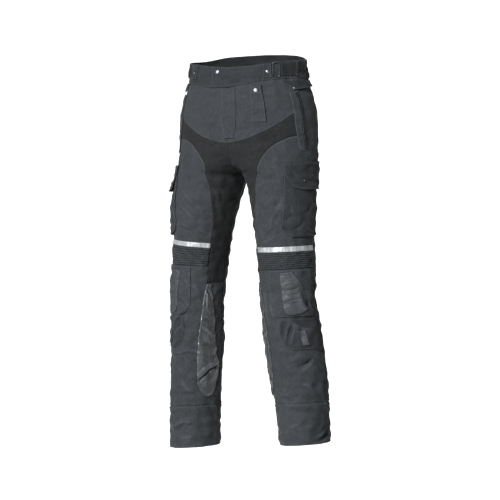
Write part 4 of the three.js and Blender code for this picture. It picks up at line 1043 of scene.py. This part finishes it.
def pocketWelt(side):
    name = sideNames[side]
    front = along([(58.5, -64), (59, -110), (60.5, -160), (64.5, -225)], 60)
    rear = along([(66, -64), (67.5, -120), (69, -170), (72, -225)], 60)
    grid = spanned(straight(front[0], rear[0], 12), straight(front[-1], rear[-1], 12), front, rear)

    def rolled(u, v, angle, z):
        # The welt is a folded strip: full at its rear edge, low at its front one
        return 0.1 + 0.9 * np.sin(np.pi * np.clip(u, 0, 1)) ** 0.8 + 0.5 * u

    dress(f"pocket_welt_{name}", side, grid, "shell_cloth", allEdges,
          laid(1.6, rolled), 1.2, 1.8,
          seams=[("first", 2.4, "bold")])
    zipCoil(side, rear[3:-2] + np.array([1.2, 0]))
    # The tape follows the rear edge, 0.2 to 4.9 degrees behind it
    tape = boxGrid(rear[2] + (0.2, 0), rear[2] + (4.9, 0), rear[-1] + (0.2, 0), rear[-1] + (4.9, 0), 6, 60)
    bent = rear[2:, 0] - np.linspace(rear[2][0], rear[-1][0], len(rear) - 2)
    tape[..., 0] += bent[np.round(np.linspace(0, len(rear) - 3, 61)).astype(int)][:, None]
    dress(f"zip_tape_{name}", side, tape, "webbing", "- - - edge", laid(0.9), 0.7,
          2.0, extra=True)
    tack(side, (65.2, -226.5), (72.4, -226.5), 2.2, 3.6)
    tack(side, (66.8, -62.5), (70.5, -62.5), 2.2, 3.2)


def hipFlap(side):
    def off(u, v, angle, z):
        return v * smoothstep(angle, 56, 80) * 4

    name = sideNames[side]
    grid = ruledGrid(along([(54, -32), (112, -34)], 80), along([(57, -38), (64.5, -58), (112, -52)], 80), 14)
    dress(f"hip_flap_{name}", side, grid, "shell_darker", "- edge - edge",
          laid(cut["layer"], off), step=2.2, seams=[("foot", 2.6, "bold")])


pocket = {
    "top": -263, "foot": {"left": -469, "right": -455}, "turn": {"left": 0, "right": 11}, "rear": 112,
    "flare": {"left": 3, "right": 12}, "pleat": 53.8}


def pocketBulge(side, angle, z):
    # Bellows: nothing at the front edge, the rear edge and the foot, most towards the lower rear
    name = sideNames[side]
    foot = -pocket["foot"][name]
    fromFront = smoothstep(angle, 24 + pocket["turn"][name], 62)
    fromRear = 1 - smoothstep(angle, 100, pocket["rear"])
    down = smoothstep(-z, -pocket["top"], foot - 50)
    gusset = 1 - smoothstep(-z, foot - 5, foot + 2)
    return (1 + 6 * down) * fromFront * fromRear * gusset


def cargoPocket(side):
    name = sideNames[side]
    turn, foot = pocket["turn"][name], pocket["foot"][name]
    corners = [(39, pocket["top"]), (32, -335), (24, foot + 31), (31, foot + 13), (42, foot)]
    front = along([(angle + turn, z) for angle, z in corners], 80)
    rear = straight((pocket["rear"], pocket["top"]), (pocket["rear"], foot), 80)
    grid = spanned(straight(front[0], rear[0], 60), straight(front[-1], rear[-1], 60), front, rear)
    pleat = pocket["pleat"] + turn

    def bellows(u, v, angle, z):
        groove = -0.9 * np.exp(-((angle - pleat) / 0.9) ** 2)
        groove = groove + 0.5 * np.exp(-((angle - pleat - 2.2) / 1.2) ** 2)
        return 0.2 + pocketBulge(side, angle, z) + groove * smoothstep(v, 0.02, 0.1)

    marks = [
        (42 + turn, foot + 20, 66 + turn, foot + 44, 4, 4, -2.2), (70, foot + 26, 104, foot + 14, 5, 4, 2.0),
        (66 + turn, foot + 60, 84 + turn, foot + 100, 5, 5, -1.4),
        (44 + turn, -372, 50 + turn, -420, 3, 4, 1.0),
        (86, -352, 104, -388, 5, 5, -1.5), (30 + turn, foot + 46, 50 + turn, foot + 62, -3, 4, -1.0)]
    dress(f"cargo_pocket_{name}", side, grid, "shell_darker", "- edge edge edge",
          laid(cut["layer"], bellows), step=2.6,
          marks=marks, seams=[("first", 2.8, "bold"), ("first", 7.4), ("foot", 2.8)])


def flapLift(side, angle, z):
    down = smoothstep(-z, -pocket["top"], 340)
    flare = pocket["flare"][sideNames[side]] * down * smoothstep(angle, 45, 85)
    return pocketBulge(side, angle, z) + cut["layer"] + cut["rest"] + 0.7 + 1.8 * down + flare


def cargoFlap(side):
    name = sideNames[side]
    turn, top, rearEnd = pocket["turn"][name], pocket["top"] + 2, pocket["rear"] + 2
    front = along([(37.5 + turn, top), (36 + turn, -288), (42 + turn, -310)], 30)
    foot = along([(42 + turn, -310), (50 + turn, -330), (63 + turn, -338), (rearEnd, -341)], 60)
    rear = straight((rearEnd, top), foot[-1], 30)
    marks = [(72 + turn, -300, 96, -326, 4, 5, -1.3), (48 + turn, -280, 60 + turn, -300, 3, 4, 0.9)]
    dress(f"cargo_flap_{name}", side, spanned(straight(front[0], rear[0], 60), foot, front, rear),
          "shell_darker", "felled edge edge edge",
          laid(cut["layer"], lambda u, v, angle, z: flapLift(side, angle, z)), step=2.4,
          marks=marks, seams=[("top", 6.5, "bold"), ("first", 2.4, "bold"), ("foot", 2.4, "bold")])


# Knee and calf

def reflectiveStrip(side):
    bands = kneeBands[sideNames[side]]
    foot = [z + 1 for z in bands["ribTop"]]
    top, foot = (bandLine(ends, 93, cut["bandInner"] + 2, 60) for ends in (bands["stripTop"], foot))
    dress(f"reflective_strip_{sideNames[side]}", side, ruledGrid(top, foot, 8), "reflective_tape",
          allEdges, laid(1.2), 0.8, 2.4)


def atKnee(side, *corners):
    # The tables give the left knee, and the right one lies a little higher
    rise = kneeBands[sideNames[side]]["middle"] - kneeBands["left"]["middle"]
    return [(angle, z + rise) for angle, z in corners]


knee = {"room": 0.3, "grooves": 4, "grooveFrom": 0.3, "grooveStep": 0.12, "grooveDepth": 2.1,
        "grooveWidth": 0.018}


def kneeCup(side):
    name = sideNames[side]
    top = bandLine(kneeBands[name]["ribEnd"], -9, 80, 54)
    top[:, 1] -= 3
    foot = along(atKnee(side, (-3, -684), (4, -691), (80, -691)), 54)
    first = along([top[0], *atKnee(side, (-13, -640), (-13, -668)), foot[0]], 42)
    dress(f"knee_cup_{name}", side, spanned(top, foot, first, straight(top[-1], foot[-1], 42)),
          "shell_cloth", allEdges, laid(cut["layer"] + knee["room"]),
          step=2.6, seams=[("first", 2.6), ("foot", 2.6)])


def kneePatch(side):
    name = sideNames[side]
    rear = along(atKnee(side, (37, -565), (48.5, -586), (59, -612), (66, -636), (63, -672)), 42)
    front = along(atKnee(side, (14.5, -568), (17.5, -666), (21, -681)), 42)
    foot = along(atKnee(side, (21, -681), (27, -687), (49, -684), (63, -672)), 40)

    def grooved(u, v, angle, z):
        # Equal level flex grooves, each fading out at both ends, with a low ridge under each
        height = cut["layer"] + cut["rest"] + knee["room"] + 0 * u
        window = smoothstep(u, 0.2, 0.3) * (1 - smoothstep(u, 0.72, 0.82))
        for k in range(knee["grooves"]):
            middle = knee["grooveFrom"] + k * knee["grooveStep"]
            groove = knee["grooveDepth"] * np.exp(-((v - middle) / knee["grooveWidth"]) ** 2)
            height = height - window * (groove - 0.35 * np.exp(-((v - middle - 0.035) / 0.02) ** 2))
        return height

    dress(f"knee_patch_{name}", side, spanned(straight(front[0], rear[0], 40), foot, front, rear),
          "patch_leather", allEdges, laid(cut["layer"], grooved),
          step=2.0, rowStep=1.2, seams=[(edge, 2.6) for edge in edgeNames])


def kneeLower(side):
    name = sideNames[side]
    first = along(atKnee(side, (2, -697), (0, -730), (4, -762)), 30)
    foot = along(atKnee(side, (4, -762), (14, -778), (26, -785), (88, -785)), 54)
    top = straight(first[0], atKnee(side, (88, -697))[0], 54)
    dress(f"knee_lower_{name}", side, spanned(top, foot, first, straight(top[-1], foot[-1], 30)),
          "shell_darker", allEdges, laid(1.2), 1.0, 2.6,
          seams=[("foot", 2.6), ("first", 2.6), ("first", 6.6)])


def kneeSmallPatch(side):
    grid = boxGrid(*atKnee(side, (39, -732), (52, -730), (45, -773), (58, -771)), 16, 24)
    dress(f"knee_small_patch_{sideNames[side]}", side, grid, "patch_leather", allEdges,
          laid(2.4 + cut["rest"]), step=1.8)


gripMarks = [
    (-30, -876, -92, -818, 6, 4.5, -3.4), (-34, -850, -74, -812, 5, 4, 1.8),
    (-44, -606, -60, -640, 3, 3.5, -1.8), (-42, -622, -64, -634, 3, 3, 1.4),
    (-34, -718, -62, -748, 4, 4, -1.6), (-33, -760, -70, -772, 4, 5, -1.2),
    (-46, -598, -50, -668, 3, 3, 1.2), (-38, -690, -58, -696, 3, 3.5, -1.2)]


def calfGrip(side):
    front = along([(-46.5, -594), (-42.6, -625), (-39.5, -666), (-35.2, -708), (-31, -745), (-30.5, -785),
                   (-32.5, -849), (-35.8, -877), (-43, -897)], 100)
    rear = along([(-56, -594), (-63, -630), (-69, -697), (-70, -750), (-76, -790), (-90, -825), (-84, -866),
                  (-72, -905)], 100)
    foot = along([front[-1], (-53, -909), (-62, -912), rear[-1]], 24)
    grid = spanned(straight(front[0], rear[0], 24), foot, front, rear)
    dress(f"calf_grip_{sideNames[side]}", side, grid, "grip_leather", allEdges,
          laid(cut["layer"] + 0.35), step=2.2,
          marks=gripMarks, seams=[("first", 2.6), ("foot", 2.6)])


# Sewing thread, bar tacks and zip coils: many small blocks joined in one mesh for each side

sewing = {"pitch": 4.2, "long": 3.0, "wide": 0.55, "bold": 1.1, "high": 0.4}
tacking = {"pitch": 1.1, "wide": 0.8, "high": 0.5}
coil = {"lift": 1.9, "pitch": 2.6, "long": 5.2, "wide": 1.7, "high": 1.3}
blocks = {"stitching": {1: [], -1: []}, "zip_coil": {1: [], -1: []}}


def evenly(points, normals, pitch):
    # Points, directions and normals at even steps along a line
    length = np.concatenate([[0], np.cumsum(np.linalg.norm(np.diff(points, axis=0), axis=1))])
    count = max(int(length[-1] / pitch), 1)
    at = (np.arange(count) + 0.5) * length[-1] / count

    def between(at, values):
        return np.stack([np.interp(at, length, values[:, k]) for k in range(3)], -1)

    ahead = unit(between(at + 0.6, points) - between(at - 0.6, points))
    return between(at, points), ahead, unit(between(at, normals))


def addBlocks(kind, side, middle, ahead, normal, long, wide, high):
    # A low block with sloping sides at each place: eight corners, long along its own direction
    across = unit(np.cross(normal, ahead))
    corners = []
    for level, shrink in ((-0.25, 1.0), (1.0, 0.6)):
        for signLong, signWide in ((-1, -1), (1, -1), (1, 1), (-1, 1)):
            reach = ahead * (signLong * long / 2 * shrink) + across * (signWide * wide / 2 * shrink)
            corners.append(middle + reach + normal * (level * high))
    blocks[kind][side].append(np.stack(corners, 1))


def sew(node, edge, inset, breadth="wide", until=1.0):
    # Stitches along one edge of a piece, set in from it by inset, on the piece's own points
    piece = made[node]
    points, normal, away = piece["points"], piece["normal"], piece["away"][edge]
    if edge in ("first", "last"):
        points, normal, away = points.transpose(1, 0, 2), normal.transpose(1, 0, 2), away.T
    if edge in ("foot", "last"):
        points, normal, away = points[::-1], normal[::-1], away[::-1]
    roomy = away.max(0) > inset * 1.5
    keep = max(int(roomy.sum() * until), 2)
    points, normal, away = (values[:, roomy][:, :keep] for values in (points, normal, away))
    k = np.clip((away < inset).sum(0), 1, len(away) - 1)
    column = np.arange(points.shape[1])
    share = ((inset - away[k - 1, column]) / (away[k, column] - away[k - 1, column]))[:, None]
    line = points[k - 1, column] * (1 - share) + points[k, column] * share
    up = normal[k, column]
    if piece["ring"]:
        line, up = np.concatenate([line, line[:1]]), np.concatenate([up, up[:1]])
    middle, ahead, up = evenly(line, up, sewing["pitch"])
    addBlocks("stitching", piece["side"], middle, ahead, up, sewing["long"], sewing[breadth], sewing["high"])


def onCloth(side, line, lift):
    return clothPoint(side, line[:, 0], line[:, 1], lift), skinNormal(side, line[:, 0], line[:, 1])


def tack(side, start, end, lift, long):
    # Bar tack: close stitches across a short line
    middle, ahead, up = evenly(*onCloth(side, straight(start, end, 12), lift), tacking["pitch"])
    addBlocks("stitching", side, middle, np.cross(ahead, up), up, long, tacking["wide"], tacking["high"])


def zipCoil(side, line):
    middle, ahead, up = evenly(*onCloth(side, line, coil["lift"]), coil["pitch"])
    addBlocks("zip_coil", side, middle, np.cross(ahead, up), up, coil["long"], coil["wide"], coil["high"])


def joinBlocks():
    ownFaces = np.array([(3, 2, 1, 0), (4, 5, 6, 7), (0, 1, 5, 4), (1, 2, 6, 5), (2, 3, 7, 6), (3, 0, 4, 7)])
    for kind, slot in (("stitching", "thread"), ("zip_coil", "coil")):
        for side in (1, -1):
            block = np.concatenate(blocks[kind][side])
            points = block.reshape(-1, 3)
            centres = np.repeat(block.mean(1), len(ownFaces), axis=0)
            faces = (np.arange(len(block))[:, None, None] * 8 + ownFaces[None]).reshape(-1, 4)
            faces = turnedOut(points, faces, lambda corners: corners.mean(1) - centres)
            newPiece(f"{kind}_{sideNames[side]}", points, faces, slot, points[:, ::2] * mm)


# Studs, rings and straps of the waist

def seatAt(side, angle, z, liftAt):
    # Middle, across, up and normal of a place on a layer
    def point(a, h):
        return clothPoint(side, np.array([a]), np.array([h]), np.array([liftAt(a, h)]))[0]

    around = point(angle + 2, z) - point(angle - 2, z)
    ahead = point(angle, z + 5) - point(angle, z - 5)
    normal = unit(np.cross(around, ahead)) * side
    up = unit(np.array([0, 0, 1.0]) - normal * normal[2])
    return point(angle, z), np.cross(up, normal), up, normal


# A pressed cap's profile, as shares of its radius and heights: rim, groove and low dome
studProfile = [(0, -0.7), (0.86, -0.7), (1.0, -0.3), (1.0, 0.7), (0.94, 1.25), (0.84, 1.4), (0.74, 1.2),
               (0.68, 0.95), (0.58, 1.05), (0.45, 1.6), (0.28, 2.05), (0.1, 2.25), (0, 2.28)]
leastRadius = 0.001


def addStud(node, radius, side, angle, z, lift, liftAt=None, shine=1.0):
    # The profile turned about the normal, with a painted glint on its dome, as strong as shine
    start, across, up, normal = seatAt(side, angle, z, lambda a, h: lift + (liftAt(a, h) if liftAt else 0))
    steps = 32
    turn = np.linspace(0, 2 * np.pi, steps, endpoint=False)
    around = across * np.cos(turn)[:, None] + up * np.sin(turn)[:, None]
    points = np.stack([start + around * max(radius * r, leastRadius) + normal * h for r, h in studProfile])
    faces = turnedOut(points, gridFaces(len(points), steps, True), lambda corners: corners.mean(1) - start)
    dome = [h > 0 and 1.0 - smoothstep(r, 0.5, 0.66) for r, h in studProfile]
    piece = newPiece(node + "_cap", points, faces, "steel", wearAndHighlight=shine * np.repeat(dome, steps))
    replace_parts(piece, node)


ringSize = {"wide": 21, "tall": 44, "wire": 3, "deep": 2.6, "corner": 4, "lift": 0.6, "sides": 12}


def addRing(node, side, angle, z):
    # Wire loop: an ellipse carried along a rectangle with round corners
    start, across, up, normal = seatAt(side, angle, z, lambda a, h: ringSize["lift"] + ringSize["deep"] / 2)
    corner, sides = ringSize["corner"], ringSize["sides"]
    halfWide, halfTall = ((ringSize[key] - ringSize["wire"]) / 2 - corner for key in ("wide", "tall"))
    path = []
    for signX, signY, begin in ((1, 1, 0), (-1, 1, 90), (-1, -1, 180), (1, -1, 270)):
        turn = np.radians(np.linspace(begin, begin + 90, 8))
        arc = corner * np.stack([np.cos(turn), np.sin(turn)], -1)
        path.append((signX * halfWide, signY * halfTall) + arc)
    path = np.concatenate(path)
    forward = unit(np.roll(path, -1, 0) - np.roll(path, 1, 0))
    outward = np.stack([forward[:, 1], -forward[:, 0]], -1)
    turn = np.linspace(0, 2 * np.pi, sides, endpoint=False)
    flat = path[:, None] + outward[:, None] * (np.cos(turn) * ringSize["wire"] / 2)[None, :, None]
    high = np.sin(turn) * ringSize["deep"] / 2
    points = start + flat[..., :1] * across + flat[..., 1:] * up + high[None, :, None] * normal
    faces = gridFaces(len(path) + 1, sides, True) % (len(path) * sides)
    centres = (start + path[:, :1] * across + path[:, 1:] * up)[faces[:, 0] // sides]
    faces = turnedOut(points, faces, lambda corners: corners.mean(1) - centres)
    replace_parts(newPiece(node + "_loop", points, faces, "steel"), node)


adjuster = {"turn": {"left": 0, "right": 9}, "tab": (33, 42.3), "stud": 37.5, "ring": 47, "strap": (51.9, 71),
            "end": (71.2, 76)}


def addAdjuster(side):
    # A tab with a stud, the loop, the strap behind it and its folded end
    name = sideNames[side]
    turn, on = adjuster["turn"][name], f"waistband_{name}"

    def strip(key, high, low, columns, rows):
        start, end = adjuster[key][0] + turn, adjuster[key][1] + turn
        return boxGrid((start, high), (end, high), (start, low), (end, low), columns, rows)

    dress(f"adjuster_tab_{name}", side, strip("tab", 19, -20, 16, 20), "shell_darker", allEdges,
          laid(cut["layer"]), step=2.0,
          seams=[("top", 2.4), ("foot", 2.4), ("first", 2.4)])
    addStud(f"adjuster_stud_{name}", 5, side, adjuster["stud"] + turn, -3, restOn + 0.4, shine=0.6)
    addRing(f"adjuster_ring_{name}", side, adjuster["ring"] + turn, 1)
    dress(f"adjuster_strap_{name}", side, strip("strap", 21, -17, 24, 16), "webbing", allEdges,
          laid(cut["layer"]), step=2.0)
    dress(f"strap_end_{name}", side, strip("end", 23, -19, 8, 16), "shell_darker", allEdges,
          laid(2.6), 2.0, 1.6, seams=[("last", 2.6)])


def addFloor():
    half, z = studio["floorHalf"], studio["floor"]
    mesh = bpy.data.meshes.new("floor")
    corners = [(-half, -half, z), (half, -half, z), (half, half, z), (-half, half, z)]
    mesh.from_pydata(corners, [], [(0, 1, 2, 3)])
    mesh.materials.append(materials["floor"])
    floor = bpy.data.objects.new("floor", mesh)
    bpy.context.scene.collection.objects.link(floor)


restOn = cut["rest"] + cut["layer"]
for side in (1, -1):
    name = sideNames[side]
    for build in (frontYoke, crotchStretch, thighFront, ribbedBand, shinFront, backPanel, hemBand,
                  pocketWelt, hipFlap, cargoPocket, cargoFlap, reflectiveStrip, kneeCup, kneePatch,
                  kneeLower, kneeSmallPatch, calfGrip):
        build(side)
    addStud(f"cargo_stud_{name}", 5, side, 66 + pocket["turn"][name], -312, restOn + 0.5,
            lambda angle, z: float(flapLift(side, np.float64(angle), np.float64(z))), 0.3)
    addStud(f"hip_rivet_{name}", 3, side, 65, -53, restOn + 1.6, shine=0.6)
    addAdjuster(side)
    print("side made:", name)
waistbandFront()
waistbandBack()
flyPlacket()
frontTab()
addStud("front_tab_stud", 6.5, 1, 25.4, -54, cut["rest"] + 1.6)
addStud("lap_stud", 6, -1, 12, 0, band["lapRise"] + 0.4)
joinBlocks()
addFloor()
print("pieces made:", len(made))
